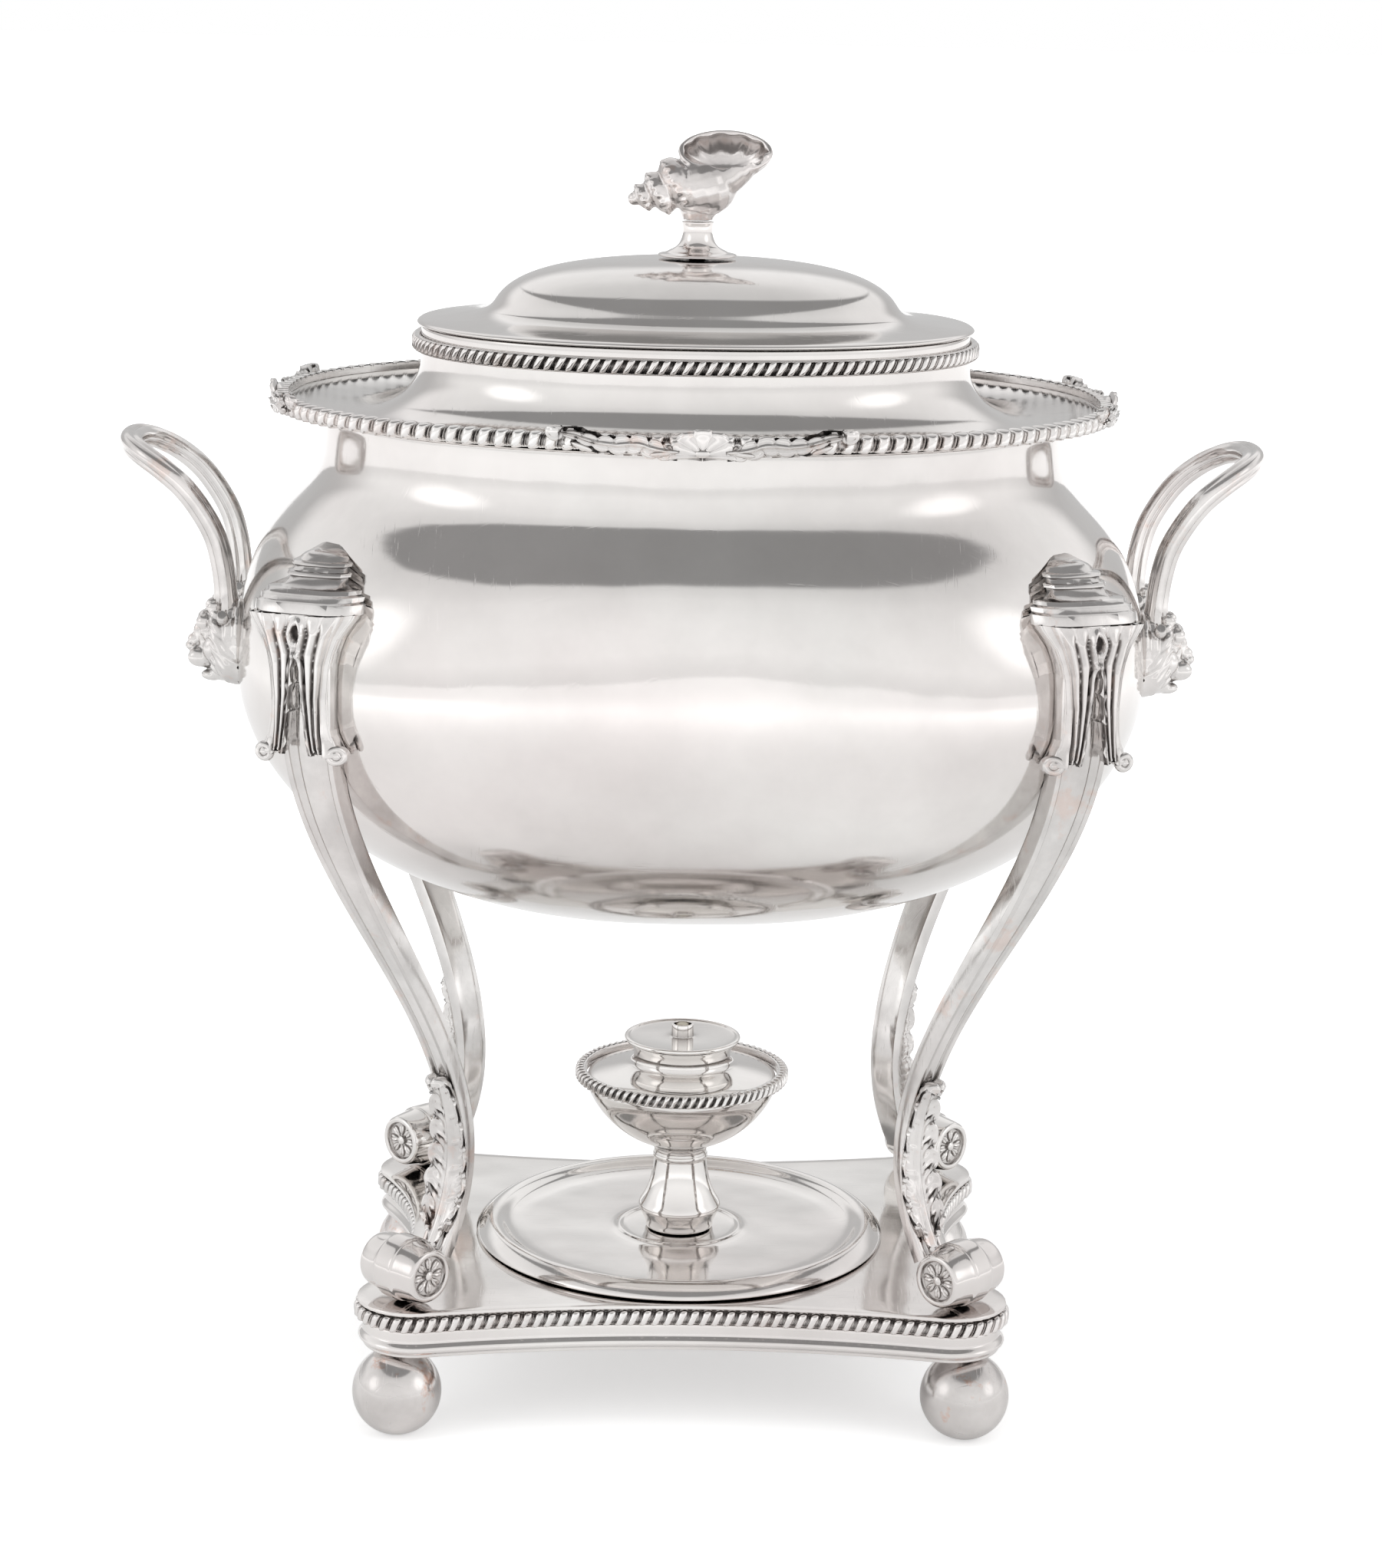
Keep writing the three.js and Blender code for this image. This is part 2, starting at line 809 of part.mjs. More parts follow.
// The leaf keeps a double gap, because its steps and the leg's fall at other heights.
// Its curled sections turn about a line that lies the curl's radius above its underside.
function leafSection(z, half, curl) {
  const seat = legThicknessAt(z) / 2 + 2 * clearance;
  const edge = leafDish + leafSheet;
  return [
    [0, 0], [leafDish, -half], [edge, -half], [leafSheet + leafRidge, 0], [edge, half], [leafDish, half],
  ].map(([lift, across]) => {
    const arm = leafCurlRadius - lift;
    return onLeg(z + arm * Math.sin(curl), seat + leafCurlRadius - arm * Math.cos(curl), across);
  });
}

// The drapery panel: side ribs that end in volutes, with a split skirt between.
function drapeShape() {
  const bottom = capBaseZ - drapeLength;
  const top = capBaseZ - clearance;
  const right = [
    [0, bottom + drapeLength * 0.62],
    [drapeWaist * 0.25, bottom + drapeLength * 0.44],
    [drapeWaist * 0.48, bottom + drapeLength * 0.2],
    [drapeWaist * 0.73, bottom + drapeLength * 0.26],
    [drapeWaist * 0.96, bottom + drapeLength * 0.08],
  ];
  const volute = [];
  for (let i = 0; i <= 8; i += 1) {
    const angle = THREE.MathUtils.lerp(-Math.PI * 0.8, Math.PI * 0.8, i / 8);
    volute.push([voluteSpread + voluteRadius * Math.cos(angle), bottom + voluteRadius * Math.sin(angle)]);
  }
  const rib = [
    [drapeWaist * 1.06, bottom + drapeLength * 0.2],
    [drapeWaist, bottom + drapeLength * 0.38],
    [drapeWaist * 1.1, bottom + drapeLength * 0.66],
    [drapeWaist * 1.31, bottom + drapeLength * 0.85],
    [capHalfWidth * 0.87, top],
  ];
  const half = [...right, ...volute, ...rib];
  const mirrored = half.slice(1).map(([across, z]) => [-across, z]).reverse();
  return new THREE.Shape([...half, ...mirrored].map(([across, z]) => new THREE.Vector2(across, z)));
}

function drapeBlock(from, to) {
  return new THREE.ExtrudeGeometry(drapeShape(), { depth: to - from, bevelEnabled: false, curveSegments: 1 })
    .applyMatrix4(new THREE.Matrix4().makeBasis(
      new THREE.Vector3(0, 1, 0), new THREE.Vector3(0, 0, 1), new THREE.Vector3(1, 0, 0),
    )).translate(from, 0, 0);
}

function legDrape(hand) {
  const seat = legTopReach + legTopThickness / 2 + clearance;
  const front = seat + drapeThickness;
  const passage = block(
    [-legTopReach, -legTopWidth / 2 - clearance, 0],
    [seat, legTopWidth / 2 + clearance, capBaseZ + drapeLength],
  );
  return bracketTurned(cutBy(drapeBlock(legTopReach - drapeReturn, front), [passage]), hand);
}

// The architectural cap: a slab, two mouldings, a cavetto, two fillets and an arch.
function legCap(hand) {
  const steps = [
    [0, 1, 1], [0.215, 1, 1], [0.22, 0.93, 0.93], [0.327, 0.93, 0.93],
    [0.332, 0.86, 0.88], [0.402, 0.86, 0.88], [0.407, 0.74, 0.8],
    [0.495, 0.65, 0.73], [0.589, 0.61, 0.7], [0.593, 0.65, 0.75], [0.654, 0.65, 0.75],
    [0.659, 0.58, 0.69], [0.757, 0.58, 0.69], [0.762, 0.64, 0.74], [0.827, 0.64, 0.74], [0.832, 0.56, 0.66],
    [0.916, 0.46, 0.62], [0.972, 0.3, 0.58], [1, 0.08, 0.55],
  ];
  const rings = steps.map(([rise, width, depth]) => {
    const z = capBaseZ + capHeight * rise;
    const half = capHalfWidth * width;
    const wall = cornerReachAt(z);
    const front = capDepth * depth;
    const outline = [[-capSeatDepth, -half], [front, -half], [front, half], [-capSeatDepth, half]];
    return outline.map(([out, across]) => new THREE.Vector3(wall + out, across, z));
  });
  return bracketTurned(loft(rings), hand);
}

// Vessel, flange and collar

function flangeZAt(radius) {
  const share = (radius - collarFootRadius) / (flangeRadius - collarFootRadius);
  return flangeEdgeZ - flangeDip * (1 - THREE.MathUtils.clamp(share, 0, 1) ** 1.5);
}

function neckTopZ() {
  return flangeZAt(neckRadius) - collarSheet - clearance;
}

function vesselShell() {
  const shell = oblongTurned([...vesselProfile(), ...hollowProfile(0).reverse()]);
  const hole = new THREE.CylinderGeometry(tapWallHoleRadius, tapWallHoleRadius, bellyRadius, 16)
    .translate(0, bellyRadius, tapZ);
  return cutBy(shell, [hole]);
}

function collarLine(drop) {
  const waistZ = (collarTopZ + flangeEdgeZ) / 2;
  const dip = flangeEdgeZ - flangeDip;
  return [
    [collarThroatRadius, waistZ + 3],
    [collarThroatRadius + 2.6, waistZ - 5],
    [collarThroatRadius + 9, dip + 3],
    [collarFootRadius, dip],
    [(collarFootRadius + flangeRadius) / 2, flangeZAt((collarFootRadius + flangeRadius) / 2)],
    [flangeRadius, flangeEdgeZ],
  ].map(([radius, z]) => [radius - drop * 0.6, z - drop]);
}

function collarAndFlange() {
  const outer = collarLine(0);
  const inner = collarLine(collarSheet).reverse();
  inner[0] = [flangeRadius, flangeEdgeZ - collarSheet];
  const throat = collarThroatRadius - collarSheet;
  return oblongTurned(ring([
    [throat, collarTopZ],
    [collarThroatRadius, collarTopZ],
    ...outer,
    ...inner.slice(0, -1),
    [throat, outer[0][1] - 1],
  ]));
}

function bead(inner, reach, middle, height) {
  return [
    [inner, middle - height / 2],
    [inner + reach * 0.65, middle - height / 2],
    [inner + reach, middle],
    [inner + reach * 0.65, middle + height / 2],
    [inner, middle + height / 2],
  ];
}

function rimBeadZ() {
  return flangeEdgeZ - collarSheet / 2 + 0.8;
}

function flangeGadroon(extra = 0) {
  const inner = flangeRadius + clearance - extra;
  return oblongTurned(ring(bead(inner, rimBeadReach + 2 * extra, rimBeadZ(), rimBeadHeight + 2 * extra)));
}

function collarGadroon() {
  const inner = collarThroatRadius + clearance;
  return oblongTurned(ring(bead(inner, collarBeadReach, collarTopZ - collarBeadDrop, collarBeadHeight)));
}

// One shell and scroll group that grips the flange's border, centred on a plan angle.
function rimOrnament(middleAngle) {
  const along = Math.abs(Math.sin(middleAngle)) > 0.5 ? flangeRadius : flangeRadius * planDepthShare;
  const halfAngle = Math.asin(ornamentHalfLength / along);
  const rings = [];
  for (let i = 0; i <= ornamentSteps; i += 1) {
    const share = (2 * i) / ornamentSteps - 1;
    const shell = 1 - smooth(Math.abs(share), 0.05, 0.22);
    const leaves = Math.abs(Math.sin(share * Math.PI * 2.5)) * 0.35;
    const cover = ornamentCover * (0.6 + leaves + 0.7 * shell);
    rings.push(ornamentSection(middleAngle + share * halfAngle, cover));
  }
  return cutBy(loft(rings), [flangeGadroon(clearance)]);
}

function ornamentSection(angle, cover) {
  const stretch = oblongStretch(angle, rimSquareness);
  const section = bead(flangeRadius + clearance, rimBeadReach + cover, rimBeadZ(), rimBeadHeight + 2 * cover);
  return section.map(([radius, z]) => new THREE.Vector3(
    radius * stretch * Math.cos(angle),
    radius * stretch * Math.sin(angle) * planDepthShare,
    z,
  ));
}

// Lid

function lidLine() {
  const low = collarTopZ + clearance;
  const crown = low + lidRise;
  return [
    [lidBrimRadius, low],
    [lidBrimRadius, low + lidSheet],
    [lidBrimRadius - 9, low + lidSheet + 0.8],
    [lidShoulderRadius + 3.2, low + lidShoulderRise - 2.6],
    [lidShoulderRadius, low + lidShoulderRise],
    [lidShoulderRadius - 2, low + lidShoulderRise + 3.7],
    [lidShoulderRadius - 8, low + lidRise * 0.7],
    [lidShoulderRadius - 17, low + lidRise * 0.84],
    [lidShoulderRadius * 0.48, low + lidRise * 0.95],
    [finialDiscRadius, crown - 0.1],
    [studRadius + clearance, crown],
  ];
}

function lid() {
  const outer = lidLine();
  const low = collarTopZ + clearance;
  const under = outer.slice(4).filter((point, i) => i % 2 === 0).reverse().map(([radius, z]) => [
    Math.max(radius - lidSheet * 0.8, studRadius + clearance), z - lidSheet,
  ]);
  return oblongFromRound(ring([...outer, ...under, [lidBrimRadius - 12, low]]));
}

// The lid's outline is oblong at its brim and round at the finial.
function oblongFromRound(profile) {
  const geometry = turned(profile, oblongFacets);
  const position = geometry.getAttribute('position');
  for (let i = 0; i < position.count; i += 1) {
    const x = position.getX(i);
    const y = position.getY(i);
    const share = smooth(Math.hypot(x, y), finialDiscRadius, lidShoulderRadius * 0.6);
    const stretch = oblongStretch(Math.atan2(y, x), rimSquareness);
    position.setX(i, x * THREE.MathUtils.lerp(1, stretch, share));
    position.setY(i, y * THREE.MathUtils.lerp(1, stretch * planDepthShare, share));
  }
  return closed(geometry);
}

function lidBezel() {
  const outer = collarThroatRadius - collarSheet - 2 * clearance;
  const top = collarTopZ;
  return oblongTurned(ring([
    [outer, top - bezelDepth],
    [outer, top],
    [outer - bezelSheet, top],
    [outer - bezelSheet, top - bezelDepth],
  ]));
}

function lidCrownZ() {
  return collarTopZ + clearance + lidRise;
}

function finialStem() {
  const seat = lidCrownZ() + clearance;
  const top = seat + finialStemHeight;
  return turned([
    [0, seat - studLength],
    [studRadius, seat - studLength],
    [studRadius, seat],
    [finialDiscRadius, seat],
    [finialDiscRadius, seat + 0.8],
    [finialWaistRadius + 1.6, seat + 2.4],
    [finialWaistRadius, seat + finialStemHeight * 0.42],
    [finialWaistRadius, seat + finialStemHeight * 0.8],
    [finialWaistRadius + 0.9, top],
    [0, top],
  ], 14);
}

function finialNut() {
  return hexNut(nutRadius, nutHeight, studRadius + clearance, lidCrownZ() - lidSheet - clearance);
}

// The conch: a beaded spire and a body whorl along its own axis, with a wide
// hollow lip at the upper end. It stands flat on the stem.
function shellFinial() {
  const seat = lidCrownZ() + 2 * clearance + finialStemHeight;
  const tilt = THREE.MathUtils.degToRad(shellTilt);
  const whorls = [
    [0, 0], [0.19, 0.03], [0.21, 0.06], [0.17, 0.09], [0.39, 0.12], [0.43, 0.16], [0.36, 0.2],
    [0.65, 0.23], [0.71, 0.28],
    [0.6, 0.33], [0.91, 0.39], [1, 0.48], [0.93, 0.61], [0.69, 0.75], [0.38, 0.89], [0, 1],
  ];
  const spire = turned(whorls.map(([girth, along]) => [girth * shellGirth, along * shellLength]), 14)
    .rotateY(Math.PI / 2 - tilt);
  const middle = seat + shellGirth * 0.93;
  spire.translate(-shellLength * 0.47, 0, middle - shellLength * 0.47 * Math.sin(tilt));
  const lipCentre = [shellLength * 0.22, 0, middle + shellGirth * 0.48];
  const lip = ellipsoid(lipCentre, [shellLipRadius * 1.15, shellLipRadius * 0.86, shellLipRadius], 14);
  const hollow = ellipsoid(
    [lipCentre[0] + shellLipRadius * 0.1, -shellLipRadius * 0.5, lipCentre[2] + shellLipRadius * 0.22],
    [shellLipRadius * 1.02, shellLipRadius * 0.92, shellLipRadius * 0.82],
    14,
  );
  const below = block([-shellLength, -shellLength, seat - shellLength], [shellLength, shellLength, seat]);
  return cutBy(joined([spire, lip]), [hollow, below]);
}

// Handles and masks

function sideReachAt(y, z) {
  const half = vesselRadiusAt(z);
  const power = squarenessAt(z);
  return half * (1 - Math.abs(y / (half * planDepthShare)) ** power) ** (1 / power);
}

function maskTopZ() {
  return maskZ + maskHeight / 2;
}

// A rod along a path. radiusAt gives the radius at each corner of its section.
function rod(path, radiusAt, steps, corners) {
  const outline = [];
  for (let i = 0; i < corners; i += 1) {
    const angle = (i / corners) * Math.PI * 2;
    outline.push(new THREE.Vector2(Math.cos(angle), Math.sin(angle)).multiplyScalar(radiusAt(i)));
  }
  const section = new THREE.Shape(outline);
  return new THREE.ExtrudeGeometry(section, { steps, extrudePath: path, bevelEnabled: false });
}

// One reeded loop that rises from two masks and bends outward.
function handle() {
  const foot = sideReachAt(handleHalfSpread, maskTopZ()) + clearance + handleRadius + 0.6;
  const low = maskTopZ() + clearance;
  const rise = handleTopZ - low;
  const span = handleReach - foot;
  const half = [
    [0, 1, 0], [0.03, 1, 0.2], [0.1, 1, 0.4], [0.235, 1, 0.58], [0.41, 0.99, 0.74],
    [0.625, 0.94, 0.866], [0.825, 0.78, 0.95], [0.96, 0.46, 0.99],
  ].map(([out, across, up]) => [foot + span * out, handleHalfSpread * across, low + rise * up]);
  const points = [
    ...half.map(([x, y, z]) => new THREE.Vector3(x, -y, z)),
    new THREE.Vector3(handleReach, 0, handleTopZ),
    ...half.reverse().map(([x, y, z]) => new THREE.Vector3(x, y, z)),
  ];
  const path = new THREE.CatmullRomCurve3(points, false, 'centripetal');
  return rod(path, (i) => handleRadius - (i % 2) * handleReedDepth, handleSteps, 12);
}

// A lion's head looking along +X from a thin back plate at X = 0.
function lionMask() {
  const [w, h, d] = [maskWidth / 2, maskHeight / 2, maskReach];
  const front = maskReach / 6;
  const plate = new THREE.CylinderGeometry(1, 1, front + maskSeatDepth, 10).rotateZ(Math.PI / 2)
    .scale(1, w, h).translate((front - maskSeatDepth) / 2, 0, 0);
  const mane = ellipsoid([d * 0.12, 0, 0], [d * 0.5, w * 0.94, h * 0.94], 10);
  const brow = ellipsoid([d * 0.5, 0, h * 0.36], [d * 0.22, w * 0.52, h * 0.24], 8);
  const muzzle = ellipsoid([d * 0.66, 0, -h * 0.1], [d * 0.34, w * 0.44, h * 0.36], 8);
  const chin = ellipsoid([d * 0.4, 0, -h * 0.62], [d * 0.3, w * 0.32, h * 0.2], 8);
  return joined([plate, mane, brow, muzzle, chin]);
}

// Tap

function tapWallY() {
  return vesselRadiusAt(tapZ) * planDepthShare;
}

function tapBarrelY() {
  return tapWallY() + tapBarrelReach;
}

function alongY(radius, from, to, facets = 14) {
  return new THREE.CylinderGeometry(radius, radius, to - from, facets).translate(0, (from + to) / 2, tapZ);
}

function spoutPath() {
  const y = tapBarrelY();
  return new THREE.CatmullRomCurve3([
    new THREE.Vector3(0, y, tapZ),
    new THREE.Vector3(0, y + tapSpoutReach * 0.62, tapZ),
    new THREE.Vector3(0, y + tapSpoutReach * 0.94, tapZ - tapSpoutDrop * 0.3),
    new THREE.Vector3(0, y + tapSpoutReach, tapZ - tapSpoutDrop),
  ]);
}

function pipe(path, radius, steps, corners) {
  return rod(path, () => radius, steps, corners);
}

function tapBody() {
  const wall = tapWallY();
  const y = tapBarrelY();
  const half = tapBarrelHeight / 2;
  const barrel = turned([
    [0, -half],
    [tapBarrelRadius - tapBarrelChamfer, -half],
    [tapBarrelRadius, tapBarrelChamfer - half],
    [tapBarrelRadius, half - tapBarrelChamfer],
    [tapBarrelRadius + tapBarrelLip, half - tapBarrelChamfer / 2],
    [tapBarrelRadius + tapBarrelLip, half],
    [0, half],
  ], 14).translate(0, y, tapZ);
  const outside = joined([
    cutBy(joined([alongY(tapRosetteRadius, wall - tapRosetteRadius, wall + tapRosetteHeight),
      alongY(tapPipeRadius, wall, y)]), [vesselBlock(clearance)]),
    alongY(tapWallHoleRadius - clearance, wall - tapNippleReach, y),
    barrel,
    pipe(spoutPath(), tapPipeRadius * 0.9, 6, 10),
  ]);
  const plugHole = turned([
    [0, -half - 1],
    [plugBottomRadius + clearance, -half - 1],
    [plugTopRadius + clearance, half + 1],
    [0, half + 1],
  ], 16).translate(0, y, tapZ);
  const mouth = new THREE.CylinderGeometry(tapBoreRadius, tapBoreRadius, 4, 10).rotateX(Math.PI / 2)
    .translate(0, y + tapSpoutReach, tapZ - tapSpoutDrop);
  const inlet = alongY(tapBoreRadius, wall - 2 * tapNippleReach, y, 10);
  const outlet = pipe(spoutPath(), tapBoreRadius, 6, 8);
  return cutBy(outside, [plugHole, inlet, outlet, mouth]);
}

// The plug that turns in the barrel, with its cross bore, lever and threaded tail.
function tapKey() {
  const half = tapBarrelHeight / 2;
  const plug = turned([
    [0, -half - keyTailLength],
    [keyTailRadius, -half - keyTailLength],
    [keyTailRadius, clearance - half],
    [plugBottomRadius, clearance - half],
    [plugTopRadius, half + keyNeckHeight * 0.06],
    [keyNeckRadius, half + keyNeckHeight * 0.22],
    [keyNeckRadius * 0.87, half + keyNeckHeight * 0.78],
    [keyNeckRadius * 1.13, half + keyNeckHeight],
    [0, half + keyNeckHeight],
  ], 16);
  const grip = [tapLeverHalfLength, tapLeverHalfLength * 0.27, tapLeverHalfLength * 0.21];
  const lever = ellipsoid([0, 0, half + keyNeckHeight * 1.22], grip, 8);
  const bore = new THREE.CylinderGeometry(tapBoreRadius, tapBoreRadius, 3 * plugTopRadius, 10)
    .rotateZ(Math.PI / 2);
  return cutBy(joined([plug, lever]), [bore]);
}

function tapKeyNut() {
  return hexNut(keyNutRadius, keyNutHeight, keyTailRadius + clearance, -tapBarrelHeight / 2 - clearance);
}

// The lock nut that holds the tap's nipple from inside the vessel.
function tapBackNut() {
  const inside = toSolid(oblongTurned([...hollowProfile(clearance), [0, neckTopZ()]]));
  const nut = hexNut(backNutRadius, 2 * backNutHeight, tapWallHoleRadius + clearance, backNutHeight)
    .rotateX(Math.PI / 2).translate(0, tapWallY() - vesselWall, tapZ);
  return fromSolid(toSolid(nut).intersect(inside));
}

// Assembly

function piece(name, geometry, finish) {
  const mesh = new THREE.Mesh(closed(geometry), new THREE.MeshStandardMaterial(finish));
  mesh.name = name;
  return mesh;
}

// Moves the vessel's block into a mounted group's own frame and cuts with it.
function clearOfVessel(geometry, group) {
  group.updateMatrix();
  const cutter = vesselBlock(clearance).applyMatrix4(group.matrix.clone().invert());
  return cutBy(geometry, [cutter]);
}

const corners = [
  { name: 'front_right', x: 1, y: -1, turn: -45 },
  { name: 'front_left', x: -1, y: -1, turn: -135 },
  { name: 'back_right', x: 1, y: 1, turn: 45 },
  { name: 'back_left', x: -1, y: 1, turn: 135 },
];

const urn = new THREE.Group();

urn.add(
  piece('base_plate', basePlate(), silver),
  piece('base_gadroon', baseGadroon(), castSilver),
  piece('base_apron', baseApron(), silver),
  piece('drip_pan', dripPan(), silver),
);

corners.forEach(({ name, x, y, turn }) => {
  const ball = piece(`ball_foot_${name}`, ballFoot(), silver);
  ball.position.set(x * ballX, y * ballY, 0);
  urn.add(ball);
  const stand = new THREE.Group();
  stand.position.set(x * scrollX, y * scrollY, 0);
  stand.rotation.z = THREE.MathUtils.degToRad(turn);
  const hand = -x * y;
  stand.add(
    piece(`leg_${name}`, clearOfVessel(cutBy(leg(hand), [scrollBlock()]), stand), silver),
    piece(`leg_cap_${name}`, clearOfVessel(legCap(hand), stand), castSilver),
    piece(`leg_drape_${name}`, clearOfVessel(legDrape(hand), stand), castSilver),
    piece(`leg_leaf_${name}`, cutBy(legLeaf(), [scrollBlock()]), castSilver),
    piece(`scroll_foot_${name}`, scrollFoot(), silver),
  );
  urn.add(stand);
});

urn.add(
  piece('vessel_shell', vesselShell(), silver),
  piece('collar_and_flange', collarAndFlange(), silver),
  piece('flange_gadroon', flangeGadroon(), castSilver),
  piece('collar_gadroon', collarGadroon(), castSilver),
  piece('rim_ornament_front', rimOrnament(-Math.PI / 2), castSilver),
  piece('rim_ornament_back', rimOrnament(Math.PI / 2), castSilver),
  piece('rim_ornament_right', rimOrnament(0), castSilver),
  piece('rim_ornament_left', rimOrnament(Math.PI), castSilver),
);

[['right', 0], ['left', Math.PI]].forEach(([side, turn]) => {
  const loop = piece(`handle_${side}`, handle(), silver);
  loop.rotation.z = turn;
  urn.add(loop);
  [['front', -1], ['back', 1]].forEach(([end, y]) => {
    const mask = new THREE.Group();
    const reach = sideReachAt(handleHalfSpread, maskZ);
    mask.position.set(reach * Math.cos(turn), y * handleHalfSpread, maskZ);
    mask.rotation.z = turn;
    mask.add(piece(`lion_mask_${side}_${end}`, clearOfVessel(lionMask(), mask), castSilver));
    urn.add(mask);
  });
});

const key = new THREE.Group();
key.position.set(0, tapBarrelY(), tapZ);
key.add(piece('tap_key', tapKey(), silver), piece('tap_key_nut', tapKeyNut(), brassy));
urn.add(piece('tap_body', tapBody(), silver), piece('tap_back_nut', tapBackNut(), brassy), key);

const cover = new THREE.Group();
cover.add(
  piece('lid', lid(), silver),
  piece('lid_bezel', lidBezel(), silver),
  piece('finial_stem', finialStem(), silver),
  piece('finial_nut', finialNut(), brassy),
  piece('shell_finial', shellFinial(), castSilver),
);

const lamp = new THREE.Group();
lamp.add(
  piece('lamp_bowl', lampBowl(), silver),
  piece('lamp_gadroon', lampGadroon(), castSilver),
  piece('lamp_shoulder', lampShoulder(), silver),
  piece('burner_disc', burnerDisc(), silver),
  piece('wick', wick(), cotton),
);
urn.add(cover, lamp);

// The origin is the middle of the whole outline on the table, so the tap's reach
// behind sets the urn's own axis a little forward of it.
const outline = new THREE.Box3().setFromObject(urn);
urn.position.y = -(outline.min.y + outline.max.y) / 2;

const group = new THREE.Group();
group.add(urn);

export default group;
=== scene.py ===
# %% [markdown]
# # A silver-plated tea urn on a lamp stand
# A tray on four balls carries a spirit lamp and four S-shaped legs, and the legs
# hold an oblong covered vessel. Nearly all of it is polished silver plate, so the
# shapes must be smooth: a mirror shows every flat spot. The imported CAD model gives
# the frame, and each piece is modelled again here, finer, in the place of its node.
#
# The frame comes in metres. We model in millimetres around the urn's own upright
# axis, because the numbers stay readable, and change to metres once, at the end of
# each piece.

# %% Load the frame
import math
import bpy
import numpy as np
from mathutils import Matrix, Vector


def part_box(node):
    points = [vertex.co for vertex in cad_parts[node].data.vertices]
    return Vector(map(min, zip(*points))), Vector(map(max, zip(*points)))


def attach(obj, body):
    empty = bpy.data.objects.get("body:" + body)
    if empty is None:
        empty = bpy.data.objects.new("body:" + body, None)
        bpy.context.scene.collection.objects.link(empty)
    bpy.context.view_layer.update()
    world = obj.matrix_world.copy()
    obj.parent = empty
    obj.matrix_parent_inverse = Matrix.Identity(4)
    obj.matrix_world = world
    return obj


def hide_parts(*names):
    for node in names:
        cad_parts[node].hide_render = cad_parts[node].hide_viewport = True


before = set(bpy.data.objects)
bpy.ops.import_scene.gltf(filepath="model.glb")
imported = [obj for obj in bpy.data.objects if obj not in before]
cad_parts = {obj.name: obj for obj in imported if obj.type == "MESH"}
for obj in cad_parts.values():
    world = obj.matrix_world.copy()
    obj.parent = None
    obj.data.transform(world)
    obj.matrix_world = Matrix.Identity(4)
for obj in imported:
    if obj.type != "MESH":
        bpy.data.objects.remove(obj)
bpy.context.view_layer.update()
shell_low, shell_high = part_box("vessel_shell")
axis_y = 500 * (shell_low.y + shell_high.y)
to_metres = Matrix.Scale(0.001, 4) @ Matrix.Translation((0, axis_y, 0))
print(len(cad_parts), "nodes, the urn's axis is at y =", round(axis_y, 2), "mm")

# %% [markdown]
# ## Hands for the tools
# Blender's operators work on what is selected, and loading leaves the whole CAD
# model selected. So every step here starts by letting go of everything. The first
# helper does that, and the others use it: they open edit mode, apply a modifier,
# smooth, join, copy, turn the faces outwards and close a tube's ends.

# %% Select, edit, apply
def hold(*objects):
    """Selects only these objects, in object mode, and makes the last one active."""
    if bpy.context.mode != "OBJECT":
        bpy.ops.object.mode_set(mode="OBJECT")
    bpy.ops.object.select_all(action="DESELECT")
    for item in objects:
        item.select_set(True)
        bpy.context.view_layer.objects.active = item


def edit(item, kind="VERT", select="SELECT"):
    hold(item)
    bpy.ops.object.mode_set(mode="EDIT")
    bpy.ops.mesh.select_mode(type=kind)
    bpy.ops.mesh.select_all(action=select)


def named(name):
    item = bpy.context.active_object
    item.name = name
    item.data.name = name
    return item


def applied(item, kind, **settings):
    hold(item)
    modifier = item.modifiers.new(kind.title(), kind)
    for key, value in settings.items():
        setattr(modifier, key, value)
    bpy.ops.object.modifier_apply(modifier=modifier.name)
    return item


def smoothed(item, levels=2, angle=40):
    if levels:
        applied(item, "SUBSURF", levels=levels, render_levels=levels)
    hold(item)
    bpy.ops.object.shade_smooth_by_angle(angle=math.radians(angle))
    return item


def united(name, parts):
    hold(*parts)
    bpy.ops.object.join()
    return named(name)


def copy_of(item, name="copy"):
    hold(item)
    bpy.ops.object.duplicate()
    item = bpy.context.active_object
    item.name = name
    return item


def facing_out(item):
    edit(item)
    bpy.ops.mesh.normals_make_consistent(inside=False)
    hold(item)
    return item


def open_ends_filled(item):
    edit(item, "EDGE", "DESELECT")
    bpy.ops.mesh.select_non_manifold()
    bpy.ops.mesh.fill()
    hold(item)
    return item


# %% [markdown]
# Some shapes are easier to say as a rule than to push by hand: an oblong plan, an
# S curve, a curled leaf. For those we read a mesh's points as a table, move them
# all at once, and write them back.

# %% Points as a table
def points_of(item):
    table = np.empty(len(item.data.vertices) * 3)
    item.data.vertices.foreach_get("co", table)
    return table.reshape(-1, 3)


def move_points(item, table):
    item.data.vertices.foreach_set("co", np.ascontiguousarray(table, dtype=float).ravel())
    item.data.update()
    return item


def moved(item, matrix):
    item.data.transform(matrix)
    item.data.update()
    return item


def smooth_step(value, start, end):
    share = np.clip((value - start) / (end - start), 0, 1)
    return share * share * (3 - 2 * share)


def hump(value, width, power=2):
    """1 where the value is 0, and down to nothing a few widths away."""
    return np.exp(-(value / width) ** power)


def side_by_side(*columns):
    return np.stack(columns, 1)


# %% [markdown]
# ## Where the photographer stood
# The camera comes first, because every later look at the work goes through it. It
# stands a little left of the middle and looks slightly down, with a long lens, and
# it is turned by about a degree and a half, as the plate's front edge shows. The
# numbers were found by matching the feet, the plate's corners, the lamp, the lid's
# tips and the handles, all at once.

